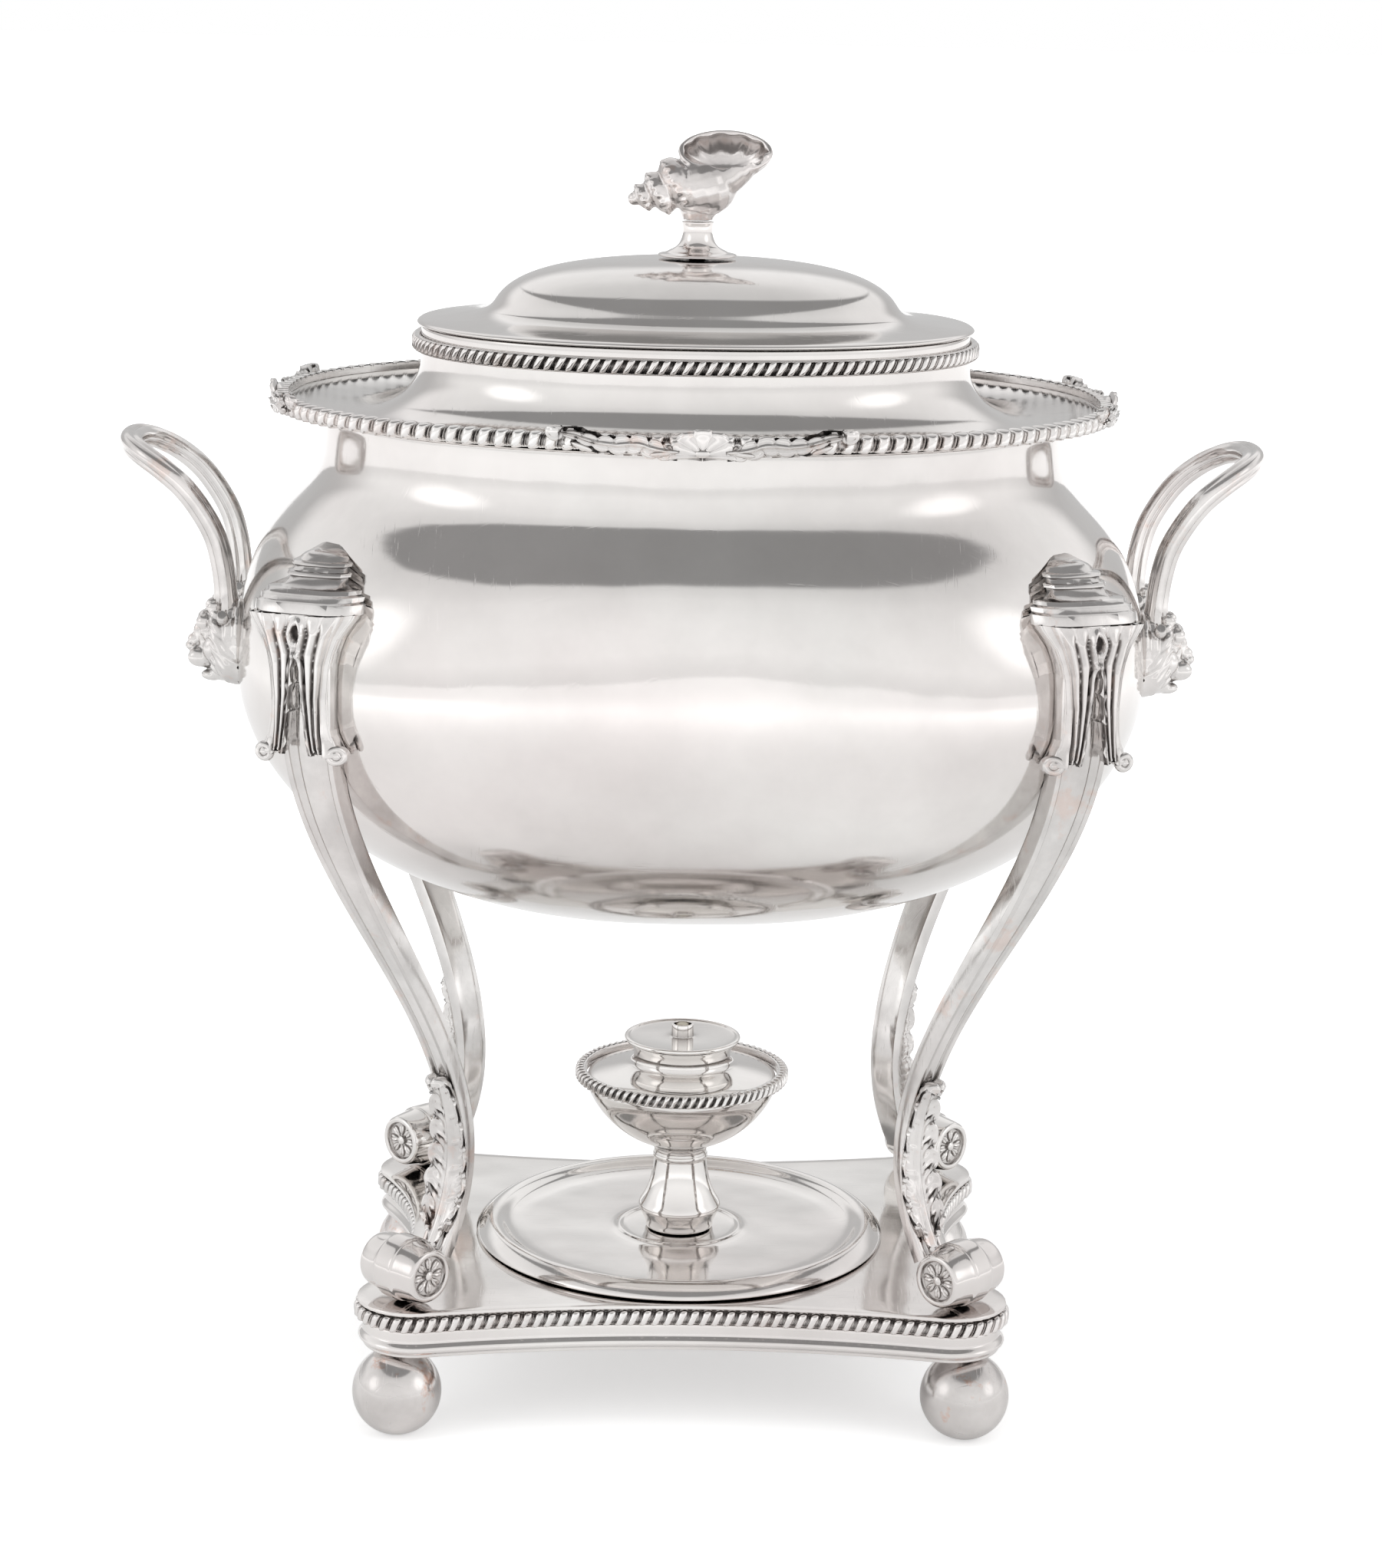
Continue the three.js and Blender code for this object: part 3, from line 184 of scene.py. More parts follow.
# %% Camera
camera_turn, camera_pan, camera_tilt, camera_roll = [math.radians(a) for a in (-1.4, -0.06, 13.08, 1.1)]
camera_distance, camera_height = 1122, 452
camera_data = bpy.data.cameras.new("camera")
camera_data.sensor_fit = "HORIZONTAL"
camera_data.sensor_width = 36
camera_data.lens = 95
camera = bpy.data.objects.new("camera", camera_data)
bpy.context.scene.collection.objects.link(camera)
stand_point = Vector((
    math.sin(camera_turn) * camera_distance, -math.cos(camera_turn) * camera_distance, camera_height,
))
camera.matrix_world = (
    Matrix.Translation(to_metres @ stand_point)
    @ Matrix.Rotation(camera_turn + camera_pan, 4, "Z")
    @ Matrix.Rotation(math.pi / 2 - camera_tilt, 4, "X")
    @ Matrix.Rotation(camera_roll, 4, "Z")
)
bpy.context.scene.camera = camera
print("camera at", [round(v, 3) for v in camera.location])

# %% [markdown]
# ## The studio
# Silver has hardly any colour of its own: it shows the room. In the photograph the
# room is pale. A dark patch hangs high in front, and shows as the pointed dark band
# below the neck. Two soft boxes stand left and right, and the wall behind the urn is
# greyer. The camera itself sees plain white. One could build walls, but a world that
# changes with direction does the same and stays out of the way of other cameras.

# %% Nodes
def feed(tree, node, values):
    """Gives a node's inputs numbers, colours or links."""
    for key, value in values.items():
        if isinstance(value, bpy.types.NodeSocket):
            tree.links.new(value, node.inputs[key])
        else:
            node.inputs[key].default_value = value
    return node


def add(tree, kind, where=(0, 0), values=None, **settings):
    """Adds a node, sets its plain properties and feeds its inputs."""
    node = tree.nodes.new(kind)
    node.location = where
    for key, value in settings.items():
        setattr(node, key, value)
    return feed(tree, node, values or {})


def ranged(tree, where, value, low, high, to_low=0.0, to_high=1.0, curve="LINEAR"):
    values = {"Value": value, "From Min": low, "From Max": high, "To Min": to_low, "To Max": to_high}
    return add(tree, "ShaderNodeMapRange", where, values, interpolation_type=curve).outputs[0]


def calc(tree, where, operation, *values, clamp=False):
    node = add(tree, "ShaderNodeMath", where, dict(enumerate(values)), operation=operation, use_clamp=clamp)
    return node.outputs[0]


def mixed(tree, where, share, first, second):
    return add(tree, "ShaderNodeMix", where, {0: share, 6: first, 7: second}, data_type="RGBA").outputs[2]


def grey(tone):
    return (tone, tone, tone, 1)


# %% World
scene = bpy.context.scene
scene.view_settings.view_transform = "Standard"
world = bpy.data.worlds.new("white_room")
scene.world = world
world.use_nodes = True
tree = world.node_tree
tree.nodes.clear()
direction = add(tree, "ShaderNodeTexCoord", (-2000, 0)).outputs["Generated"]
parts = add(tree, "ShaderNodeSeparateXYZ", (-1800, 0), {0: direction}).outputs
height_ramp = add(tree, "ShaderNodeValToRGB", (-800, 200), {0: ranged(tree, (-1000, 200), parts["Z"], -1, 1)})
height_tones = (
    (0.0, 0.92), (0.42, 0.92), (0.50, 0.95), (0.57, 1.08),
    (0.68, 1.04), (0.82, 0.95), (0.90, 0.80), (1.0, 0.70),
)
elements = height_ramp.color_ramp.elements
while len(elements) < len(height_tones):
    elements.new(0.5)
for element, (position, tone) in zip(elements, height_tones):
    element.position = position
    element.color = grey(tone)
print("a sky of", len(elements), "greys from below to above")

# %% [markdown]
# The wall behind is greyer low down. The soft boxes are one round patch: with X taken
# without its sign it appears on the left and on the right. The dark patch is laid out
# by where it should show on the silver. A mirror's face looks half way between the
# viewer and what it mirrors, so from a direction we get the lean of the face that
# would send it to the camera, and darken the faces that lean back by 25 to 48
# degrees, fewer of them the more they turn sideways.

# %% Wall, soft boxes and dark patch
behind = ranged(tree, (-1000, -100), parts["Y"], 0.1, 0.8, curve="SMOOTHSTEP")
low = ranged(tree, (-1000, 100), parts["Z"], 0.42, 0.24, curve="SMOOTHSTEP")
low_behind = calc(tree, (-800, 0), "MULTIPLY", behind, low)
room = mixed(tree, (-500, 200), low_behind, height_ramp.outputs[0], grey(0.60))

box_centre, box_edge, box_core = (0.86, -0.34, 0.38), 0.34, 0.12
sideways = calc(tree, (-1500, 300), "ABSOLUTE", parts["X"])
values = {0: sideways, 1: parts["Y"], 2: parts["Z"]}
folded = add(tree, "ShaderNodeCombineXYZ", (-1300, 300), values).outputs[0]
from_box = add(tree, "ShaderNodeVectorMath", (-1100, 400), {0: folded, 1: box_centre}, operation="DISTANCE")
in_box = ranged(tree, (-900, 400), from_box.outputs["Value"], box_edge, box_core, curve="SMOOTHSTEP")
room = mixed(tree, (-400, 0), in_box, room, grey(1.5))

values = {0: direction, 1: (0, 1, 0)}
half_way = add(tree, "ShaderNodeVectorMath", (-1800, -500), values, operation="SUBTRACT")
facing = add(tree, "ShaderNodeVectorMath", (-1600, -500), {0: half_way.outputs[0]}, operation="NORMALIZE")
leaning = add(tree, "ShaderNodeSeparateXYZ", (-1400, -500), {0: facing.outputs[0]}).outputs
turned_away = calc(tree, (-1400, -700), "MULTIPLY", leaning["X"], leaning["X"])
lens = calc(tree, (-1200, -300), "MULTIPLY_ADD", turned_away, -0.75, leaning["Z"])
high = calc(
    tree, (-600, -300), "MULTIPLY", ranged(tree, (-1000, -300), lens, 0.42, 0.45, curve="SMOOTHSTEP"),
    ranged(tree, (-1000, -500), leaning["Z"], 0.75, 0.715, curve="SMOOTHSTEP"),
)
room = mixed(tree, (-300, -200), high, room, grey(0.32))

lit = add(tree, "ShaderNodeBackground", (-300, 0), {"Color": room})
white = add(tree, "ShaderNodeBackground", (-300, 200), {"Color": grey(1)})
seen = add(tree, "ShaderNodeLightPath", (-600, 500)).outputs["Is Camera Ray"]
both = add(tree, "ShaderNodeMixShader", (0, 0), {0: seen, 1: lit.outputs[0], 2: white.outputs[0]})
add(tree, "ShaderNodeOutputWorld", (200, 0), {"Surface": both.outputs[0]})
print("world made,", len(tree.nodes), "nodes")

# %% [markdown]
# Two broad soft lamps stand at the sides and one hangs over the urn. They light the
# floor and the cotton, and the silver doesn't mirror them, because it has the world's
# soft boxes. The floor is white to the camera. Near the urn part of that white is the
# light that falls on it, so that it keeps the soft shadow. In the silver's mirror the
# floor glows a little more the farther it lies, so that no dark horizon shows.

# %% Lamps and floor
def soft_lamp(name, place, aim, size, power):
    data = bpy.data.lights.new(name, "AREA")
    data.shape = "RECTANGLE"
    data.size, data.size_y = size
    data.energy = power
    lamp = bpy.data.objects.new(name, data)
    scene.collection.objects.link(lamp)
    lamp.location = place
    lamp.rotation_euler = (Vector(aim) - Vector(place)).to_track_quat("-Z", "Y").to_euler()
    lamp.visible_glossy = False
    return lamp


soft_lamp("lamp_left", (-1.6, -1.0, 1.1), (0, 0, 0.2), (1.0, 1.4), 7.5)
soft_lamp("lamp_right", (1.6, -1.0, 1.1), (0, 0, 0.2), (1.0, 1.4), 7.5)
soft_lamp("lamp_top", (0, -0.7, 1.9), (0, 0, 0.2), (1.8, 0.8), 7.5)

hold()
bpy.ops.mesh.primitive_plane_add(size=30, location=(0, 0, 0))
floor = named("floor")
floor_paint = bpy.data.materials.new("white_floor")
floor_paint.use_nodes = True
tree = floor_paint.node_tree
tree.nodes.clear()
spot = add(tree, "ShaderNodeTexCoord", (-1000, -300)).outputs["Object"]
away = add(tree, "ShaderNodeVectorMath", (-800, -300), {0: spot}, operation="LENGTH").outputs["Value"]
path = add(tree, "ShaderNodeLightPath", (-600, -600)).outputs
faded = ranged(tree, (-600, -300), away, 0.16, 0.75, 0.42, 1.0, "SMOOTHSTEP")
direct = calc(tree, (-400, -400), "MULTIPLY", faded, path["Is Camera Ray"])
mirrored = ranged(tree, (-600, -800), away, 0.4, 1.6, 0.15, 0.55, "SMOOTHSTEP")
strength = calc(tree, (-200, -400), "MULTIPLY_ADD", path["Is Glossy Ray"], mirrored, direct)
glow = add(tree, "ShaderNodeEmission", (0, -300), {"Strength": strength})
paint = add(tree, "ShaderNodeBsdfDiffuse", (0, 0), {"Color": grey(0.8)})
total = add(tree, "ShaderNodeAddShader", (200, 0), {0: paint.outputs[0], 1: glow.outputs[0]})
add(tree, "ShaderNodeOutputMaterial", (400, 0), {"Surface": total.outputs[0]})
floor.data.materials.append(floor_paint)
print("three lamps and a floor")

# %% [markdown]
# ## How old silver plate looks
# Polished plate is a mirror with a history. Its colour drifts in soft clouds between
# a cool white and a faint rosy grey, tarnish and painted shade darken every recess and
# the gaps between close parts, the polishing cloth leaves hair-fine lines, and where
# the silver has worn through on an edge the copper below blushes. The sheet is also
# never quite flat, so the edges of reflections wander.
#
# Every silver finish here shares these effects with other amounts, so they are made
# once, as a shader node group with named inputs and outputs. The mirror itself, the
# Principled shader, stays in each material.

# %% The silver wear and painted shade group
# The Tarnish colour is two things: tarnish in the clouds, and painted shade in recesses. The recess amount
# sets how strong that painted shade is.
wear_and_shade = bpy.data.node_groups.new("silver_wear_and_shade", "ShaderNodeTree")
for label, kind, start in (
    ("Bright", "NodeSocketColor", (0.84, 0.82, 0.80, 1)),
    ("Tarnish", "NodeSocketColor", (0.20, 0.18, 0.17, 1)),
    ("Copper", "NodeSocketColor", (0.66, 0.40, 0.30, 1)),
    ("Cloud Scale", "NodeSocketFloat", 14),
    ("Cloud Amount", "NodeSocketFloat", 0.25),
    ("Recess Reach", "NodeSocketFloat", 0.004),
    ("Recess Amount", "NodeSocketFloat", 1),
    ("Copper Amount", "NodeSocketFloat", 0),
    ("Smoothness", "NodeSocketFloat", 0.06),
    ("Scratches", "NodeSocketFloat", 0.3),
    ("Waviness", "NodeSocketFloat", 0.3),
):
    socket = wear_and_shade.interface.new_socket(label, in_out="INPUT", socket_type=kind)
    socket.default_value = start
for label, kind in (
    ("Color", "NodeSocketColor"), ("Roughness", "NodeSocketFloat"), ("Height", "NodeSocketFloat"),
):
    wear_and_shade.interface.new_socket(label, in_out="OUTPUT", socket_type=kind)


def noise(tree, where, scale, detail=4, rough=0.55, stretch=None):
    """Noise on Object coordinates, stretched along one direction if asked."""
    source = add(tree, "ShaderNodeTexCoord", (where[0] - 400, where[1])).outputs["Object"]
    if stretch:
        turning, scaling = stretch
        values = {"Vector": source, "Rotation": turning, "Scale": scaling}
        source = add(tree, "ShaderNodeMapping", (where[0] - 200, where[1]), values).outputs[0]
    values = {"Vector": source, "Scale": scale, "Detail": detail, "Roughness": rough}
    return add(tree, "ShaderNodeTexNoise", where, values).outputs["Fac"]


given = add(wear_and_shade, "NodeGroupInput", (-1800, 0)).outputs
clouds = ranged(wear_and_shade, (-1300, 300), noise(wear_and_shade, (-1500, 300), given["Cloud Scale"], 6, 0.62), 0.36, 0.72)
blush = ranged(wear_and_shade, (-1300, 100), noise(wear_and_shade, (-1500, 100), 9, 3), 0.4, 0.7)
hair_noise = noise(wear_and_shade, (-1500, -300), 90, 3, 0.5, ((0.3, 0.5, 0.9), (1, 14, 1)))
cross_noise = noise(wear_and_shade, (-1500, -500), 120, 3, 0.5, ((1.1, 0.2, -0.6), (16, 1, 1)))
hairs = ranged(wear_and_shade, (-1300, -300), hair_noise, 0.62, 0.72)
hairs_across = ranged(wear_and_shade, (-1300, -500), cross_noise, 0.63, 0.73)
lines = calc(wear_and_shade, (-1100, -400), "MAXIMUM", hairs, hairs_across)
# Ambient occlusion within the recess reach darkens the colour towards the Tarnish colour in recesses and
# between close parts. This is painted shade, laid over the tarnish that lies there.
values = {"Distance": given["Recess Reach"]}
shelter = add(wear_and_shade, "ShaderNodeAmbientOcclusion", (-1500, 600), values, only_local=True, samples=8)
open_air = calc(wear_and_shade, (-1300, 600), "POWER", shelter.outputs["AO"], 1.6)
shut_in = calc(wear_and_shade, (-1150, 600), "SUBTRACT", 1.0, open_air, clamp=True)
sheltered = ranged(wear_and_shade, (-1000, 600), shut_in, 0.12, 0.75)
recess = calc(wear_and_shade, (-850, 600), "MULTIPLY", sheltered, given["Recess Amount"], clamp=True)
cloudy = calc(wear_and_shade, (-850, 300), "MULTIPLY", clouds, given["Cloud Amount"], clamp=True)
dark = calc(wear_and_shade, (-650, 450), "MAXIMUM", recess, cloudy)
rosy = mixed(wear_and_shade, (-650, 100), blush, given["Bright"], (0.80, 0.755, 0.74, 1))
toned = mixed(wear_and_shade, (-400, 300), dark, rosy, given["Tarnish"])
bare = ranged(wear_and_shade, (-650, -100), noise(wear_and_shade, (-900, -100), 60, 5, 0.7), 0.58, 0.66)
bare = calc(wear_and_shade, (-450, -100), "MULTIPLY", bare, given["Copper Amount"], clamp=True)
coloured = mixed(wear_and_shade, (-150, 200), bare, toned, given["Copper"])
dull = calc(wear_and_shade, (-200, -300), "ADD", calc(wear_and_shade, (-400, -300), "MULTIPLY", dark, 0.3), given["Smoothness"])
scratched = calc(wear_and_shade, (-400, -450), "MULTIPLY", lines, given["Scratches"])
rough = calc(wear_and_shade, (0, -300), "ADD", dull, calc(wear_and_shade, (-200, -450), "MULTIPLY", scratched, 0.12))
waves = calc(wear_and_shade, (-200, -700), "MULTIPLY", noise(wear_and_shade, (-400, -700), 22, 2, 0.4), given["Waviness"])
grooves = calc(wear_and_shade, (0, -850), "MULTIPLY", scratched, -0.02)
height = calc(wear_and_shade, (200, -700), "ADD", waves, grooves)
add(wear_and_shade, "NodeGroupOutput", (1000, 0), {"Color": coloured, "Roughness": rough, "Height": height})
print("wear group:", len(wear_and_shade.nodes), "nodes")


# %% Materials that use it
def silver_finish(name, bump_depth=0.0012, **amounts):
    material = bpy.data.materials.new(name)
    material.use_nodes = True
    tree = material.node_tree
    tree.nodes.clear()
    amounts = {key.replace("_", " ").title(): value for key, value in amounts.items()}
    effect = add(tree, "ShaderNodeGroup", (-500, 0), node_tree=wear_and_shade)
    feed(tree, effect, amounts)
    values = {"Strength": 1.0, "Distance": bump_depth, "Height": effect.outputs["Height"]}
    bump = add(tree, "ShaderNodeBump", (-250, -300), values)
    shader = add(tree, "ShaderNodeBsdfPrincipled", (0, 0), {
        "Metallic": 1.0, "Base Color": effect.outputs["Color"], "Roughness": effect.outputs["Roughness"],
        "Normal": bump.outputs[0],
    })
    add(tree, "ShaderNodeOutputMaterial", (300, 0), {"Surface": shader.outputs[0]})
    return material


# Each finish sets how far, and how strongly, painted shade darkens its recesses, besides its tarnish clouds.
polished = silver_finish(
    "polished_plate", cloud_scale=11, cloud_amount=0.24, recess_reach=0.005,
    recess_amount=0.75, smoothness=0.06, scratches=0.22, waviness=0.6,
)
cast = silver_finish(
    "cast_and_chased", bright=(0.78, 0.765, 0.75, 1), tarnish=(0.20, 0.185, 0.178, 1), cloud_scale=40,
    cloud_amount=0.42, recess_reach=0.0022, recess_amount=0.9, copper_amount=0.25, smoothness=0.10,
    scratches=0.5, waviness=0.15,
)
border = silver_finish(
    "gadroon_border", bright=(0.86, 0.845, 0.83, 1), tarnish=(0.19, 0.175, 0.168, 1), cloud_scale=60,
    cloud_amount=0.2, recess_reach=0.0005, recess_amount=0.7, copper_amount=0.1, smoothness=0.15,
    scratches=0.3, waviness=0.0,
)
worn = silver_finish(
    "worn_feet", bright=(0.76, 0.74, 0.725, 1), tarnish=(0.22, 0.195, 0.185, 1), cloud_scale=26,
    cloud_amount=0.45, recess_reach=0.006, recess_amount=0.8, copper_amount=0.75, smoothness=0.11,
    scratches=1.0, waviness=0.35,
)
print("silver finishes:", [m.name for m in (polished, cast, border, worn)])

# %% [markdown]
# The nuts inside are brass, and the wick is twisted cotton. Both are small, but the
# lid comes off and the burner lifts out, so they get a finish of their own: the brass
# with tool marks and a browned skin, the cotton with fine strands wound round it.

# %% Brass and cotton
brass = bpy.data.materials.new("turned_brass")
brass.use_nodes = True
tree = brass.node_tree
browned = ranged(tree, (-500, 200), noise(tree, (-700, 200), 180, 5), 0.35, 0.7)
tool_marks = noise(tree, (-500, -300), 900, 2, 0.5, ((0, 0, 0), (1, 1, 12)))
marks = add(tree, "ShaderNodeBump", (-250, -300), {"Distance": 0.0001, "Height": tool_marks})
feed(tree, tree.nodes["Principled BSDF"], {
    "Metallic": 1.0, "Normal": marks.outputs[0],
    "Roughness": ranged(tree, (-250, -50), browned, 0, 1, 0.24, 0.5),
    "Base Color": mixed(tree, (-250, 200), browned, (0.72, 0.52, 0.26, 1), (0.34, 0.22, 0.11, 1)),
})

cotton = bpy.data.materials.new("cotton_wick")
cotton.use_nodes = True
tree = cotton.node_tree
strands = noise(tree, (-500, 0), 700, 3, 0.6, ((0.9, 0, 0), (1, 1, 5)))
fuzz = add(tree, "ShaderNodeBump", (-250, -300), {"Distance": 0.0004, "Height": strands})
feed(tree, tree.nodes["Principled BSDF"], {
    "Roughness": 0.95, "Normal": fuzz.outputs[0],
    "Base Color": mixed(tree, (-250, 100), strands, (0.52, 0.47, 0.38, 1), (0.82, 0.78, 0.68, 1)),
})
print("other finishes:", [m.name for m in (brass, cotton)])

# %% [markdown]
# Last helper: when a piece is done, it goes to its place in metres, takes its
# finish, stands for its CAD node and rides on that node's body.

# %% Finish a piece
def done(item, material, body, slot, *nodes, place_matrix=Matrix.Identity(4)):
    hold(item)
    moved(item, to_metres @ place_matrix @ item.matrix_world)
    item.matrix_world = Matrix.Identity(4)
    item.data.materials.clear()
    item.data.materials.append(material)
    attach(item, body)
    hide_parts(*nodes)
    item.data.calc_loop_triangles()
    print(f"{item.name}: {len(item.data.loop_triangles)} triangles")
    return item

# %% [markdown]
# ## Round and oblong bodies
# The vessel, the collar, the lid, the pan and the lamp began as sheet metal spun or
# raised over a form. In Blender the same idea is the Spin tool: draw half of the
# section with one moving point, extrude it along the profile, and turn it round the
# upright axis. A subdivision surface then makes the walls flow. Where an edge must
# stay crisp the profile has two points close together, and a third number in our
# lists says how close.

# %% Turn a profile
def profile_points(profile):
    """Doubles each point that has a third number, so that the corner stays tight."""
    points = []
    for i, (radius, height, *corner) in enumerate(profile):
        here = Vector((radius, height))
        if not corner or i in (0, len(profile) - 1):
            points.append(here)
            continue
        before = (Vector(profile[i - 1][:2]) - here).normalized()
        after = (Vector(profile[i + 1][:2]) - here).normalized()
        points.extend((here + before * corner[0], here + after * corner[0]))
    return points


def raised(profile, z):
    """The same profile, higher up."""
    return [(radius, z + height, *corner) for radius, height, *corner in profile]


def turned(name, profile, steps=64):
    points = profile_points(profile)
    hold()
    bpy.ops.mesh.primitive_plane_add(size=1)
    item = named(name)
    edit(item)
    bpy.ops.mesh.merge(type="CENTER")
    bpy.ops.transform.translate(value=(points[0].x, 0, points[0].y))
    for before, after in zip(points, points[1:]):
        step = after - before
        bpy.ops.mesh.extrude_region_move(TRANSFORM_OT_translate={"value": (step.x, 0, step.y)})
    bpy.ops.mesh.select_all(action="SELECT")
    bpy.ops.mesh.spin(steps=steps, angle=2 * math.pi, center=(0, 0, 0), axis=(0, 0, 1))
    bpy.ops.mesh.select_all(action="SELECT")
    bpy.ops.mesh.remove_doubles(threshold=0.005)
    bpy.ops.mesh.normals_make_consistent(inside=False)
    hold(item)
    return item


# %% [markdown]
# The urn isn't round but a soft oblong, between an ellipse and a rectangle, and only
# four fifths as deep as it is wide. Each turned body is pushed out to that plan by
# one rule. The belly is a little squarer than the rim.

# %% Oblong plan
depth_share = 0.8
rim_squareness, belly_squareness = 2.2, 2.8
belly_z, neck_z = 234, 297


def squareness_at(z):
    return belly_squareness + (rim_squareness - belly_squareness) * smooth_step(z, belly_z, neck_z)


def oblong(item, round_within=None):
    """round_within (inner, outer): round up to the first radius, oblong from the second."""
    table = points_of(item)
    angle = np.arctan2(table[:, 1], table[:, 0])
    power = squareness_at(table[:, 2])
    stretch = (np.abs(np.cos(angle)) ** power + np.abs(np.sin(angle)) ** power) ** (-1 / power)
    share = np.ones(len(table))
    if round_within:
        share = smooth_step(np.hypot(table[:, 0], table[:, 1]), *round_within)
    table[:, 0] *= 1 + (stretch - 1) * share
    table[:, 1] *= 1 + (stretch * depth_share - 1) * share
    return move_points(item, table)


# %% Vessel
belly_radius, vessel_bottom, neck_radius, neck_top, wall = 140, 150.5, 113.5, 308.6, 1.6
belly_pull, neck_pull = 53, 43


def vessel_radius(z):
    """Half the vessel's width along X at a height: an ellipse below, a soft S above."""
    drop = np.clip((belly_z - z) / (belly_z - vessel_bottom), 0, 1)
    below = belly_radius * np.sqrt(1 - drop ** 2)
    share = np.linspace(0, 1, 200)
    rising = belly_z + (
        3 * (1 - share) ** 2 * share * belly_pull + 3 * (1 - share) * share ** 2 * neck_pull
        + share ** 3 * (neck_z - belly_z)
    )
    across = (1 - share) ** 3 * belly_radius + 3 * (1 - share) ** 2 * share * belly_radius
    across += (3 * (1 - share) * share ** 2 + share ** 3) * neck_radius
    return np.where(z < belly_z, below, np.interp(z, rising, across))


def vessel_line(inset, count, low_share):
    drops = np.cos(np.linspace(low_share, 1, count) * math.pi / 2)
    heights = list(belly_z - drops * (belly_z - vessel_bottom))
    heights += list(np.linspace(belly_z, neck_z, count // 2 + 2)[1:])
    drops = [max(belly_z - z, 0) / (belly_z - vessel_bottom) for z in heights]
    return [
        (float(vessel_radius(z)) - inset * math.sqrt(1 - d * d), z + inset * d)
        for z, d in zip(heights, drops)
    ]


outside = [(0, vessel_bottom)] + vessel_line(0, 14, 0.07) + [(neck_radius, neck_top, 0.4)]
inside = [(neck_radius - wall, neck_top, 0.4)] + vessel_line(wall, 8, 0.12)[::-1]
inside += [(0, vessel_bottom + wall)]
vessel = smoothed(oblong(turned("vessel", outside + inside)), 2, 60)
done(vessel, polished, "urn", "silver_plate", "vessel_shell")

# %% [markdown]
# ## Flange and collar
# Above the neck one spun piece turns out into a wide dished flange, then sweeps up in
# a cove to the upright collar that holds the lid.

# %% Flange and collar
flange_radius, flange_z, collar_top, throat = 124.6, 312.8, 335.4, 84.2
cove = []
for i in range(8):
    turn = i / 7 * math.pi / 2
    cove.append((throat + 19.8 * (1 - math.sin(turn)), 309.4 + 15.5 * (1 - math.cos(turn))))
dish = [(flange_radius - 20.6 * (1 - s), flange_z - 3.4 * (1 - s ** 1.6)) for s in (0.9, 0.7, 0.45, 0.2)]
collar_profile = [(flange_radius - 0.6, flange_z - 0.75), (flange_radius, flange_z, 0.25)] + dish + cove
collar_profile += [(throat, collar_top - 6), (throat, collar_top, 0.3), (throat - 1.5, collar_top, 0.3)]
collar_profile += [(throat - 1.5, collar_top - 8)]
collar_profile += [(radius - 1.2, z - 1.3) for radius, z in cove[::-2]]
collar_profile += [(radius, z - 1.5) for radius, z in dish[::-2]]
collar_profile += [(flange_radius, flange_z - 1.5, 0.25), (flange_radius - 0.6, flange_z - 0.75)]
collar = smoothed(oblong(turned("collar_and_dish", collar_profile)), 2, 60)
done(collar, polished, "urn", "silver_plate", "collar_and_flange")

# %% [markdown]
# ## Lid
# The lid's brim sits flat on the collar, a cove rises from it, and a full round
# shoulder carries a nearly flat top. It is oblong at the brim and round where the
# finial's disc stands, so the plan rule fades in between.

# %% Lid and bezel
lid_low = collar_top + 0.3
lid_rises = [
    (2.5, 20.9), (12.2, 20.8), (29.7, 20.0), (44.8, 17.6), (53.8, 14.4), (59.2, 10.8),
    (61.6, 7.6), (63.2, 5.0), (67, 3.2), (76, 2.2), (84.4, 1.5, 0.3), (85.6, 0.8),
]
lid_profile = [(2.5, 19.6)] + lid_rises + [(85.2, 0.05, 0.2), (73.6, 0.05, 0.3)]
lid_profile += [(64, 1.8), (60, 5.4), (57.5, 9.6), (52, 13.2), (43.6, 16.2)]
lid_profile += [(29, 18.6), (12.2, 19.4), (2.5, 19.6)]
lid_piece = smoothed(oblong(turned("lid_cover", raised(lid_profile, lid_low)), (12.2, 37)), 2, 60)
done(lid_piece, polished, "lid", "silver_plate", "lid")

bezel_out = 82.1
bezel_profile = [
    (bezel_out - 0.6, 327.4), (bezel_out - 0.2, 327.45), (bezel_out, 328.2), (bezel_out, 335.35, 0.2),
    (bezel_out - 1.2, 335.35, 0.2), (bezel_out - 1.2, 328.2), (bezel_out - 1, 327.45),
    (bezel_out - 0.6, 327.4),
]
bezel = smoothed(oblong(turned("bezel_ring", bezel_profile)), 1, 60)
done(bezel, polished, "lid", "silver_plate", "lid_bezel")

# %% [markdown]
# ## Finial stem
# A disc and a waisted stem below the shell, turned in one.

# %% Finial stem
stem_z = lid_low + 20.9 + 0.3
stem_profile = [
    (0, -6.9), (1.9, -6.9), (2.2, -6.4), (2.2, -0.05, 0.1), (12.0, 0.02, 0.2), (12.2, 0.5),
    (11.9, 0.95), (9.6, 1.2), (9.2, 1.7), (7.6, 2.3), (5.9, 3.4), (4.9, 5.4), (4.5, 7.4), (4.6, 9.2),
    (4.9, 10.3), (4.9, 10.75, 0.2), (0, 10.85),
]
stem = smoothed(turned("stem_of_finial", raised(stem_profile, stem_z), 32), 2, 60)
done(stem, polished, "lid", "silver_plate", "finial_stem")

# %% [markdown]
# ## Ball feet
# A ball with a small flat where it stands, and a neck that goes up into the base.
# The balls carry the weight and get the knocks, so they wear the worn finish. One is
# made and copied three times, and each copy has its own mesh.

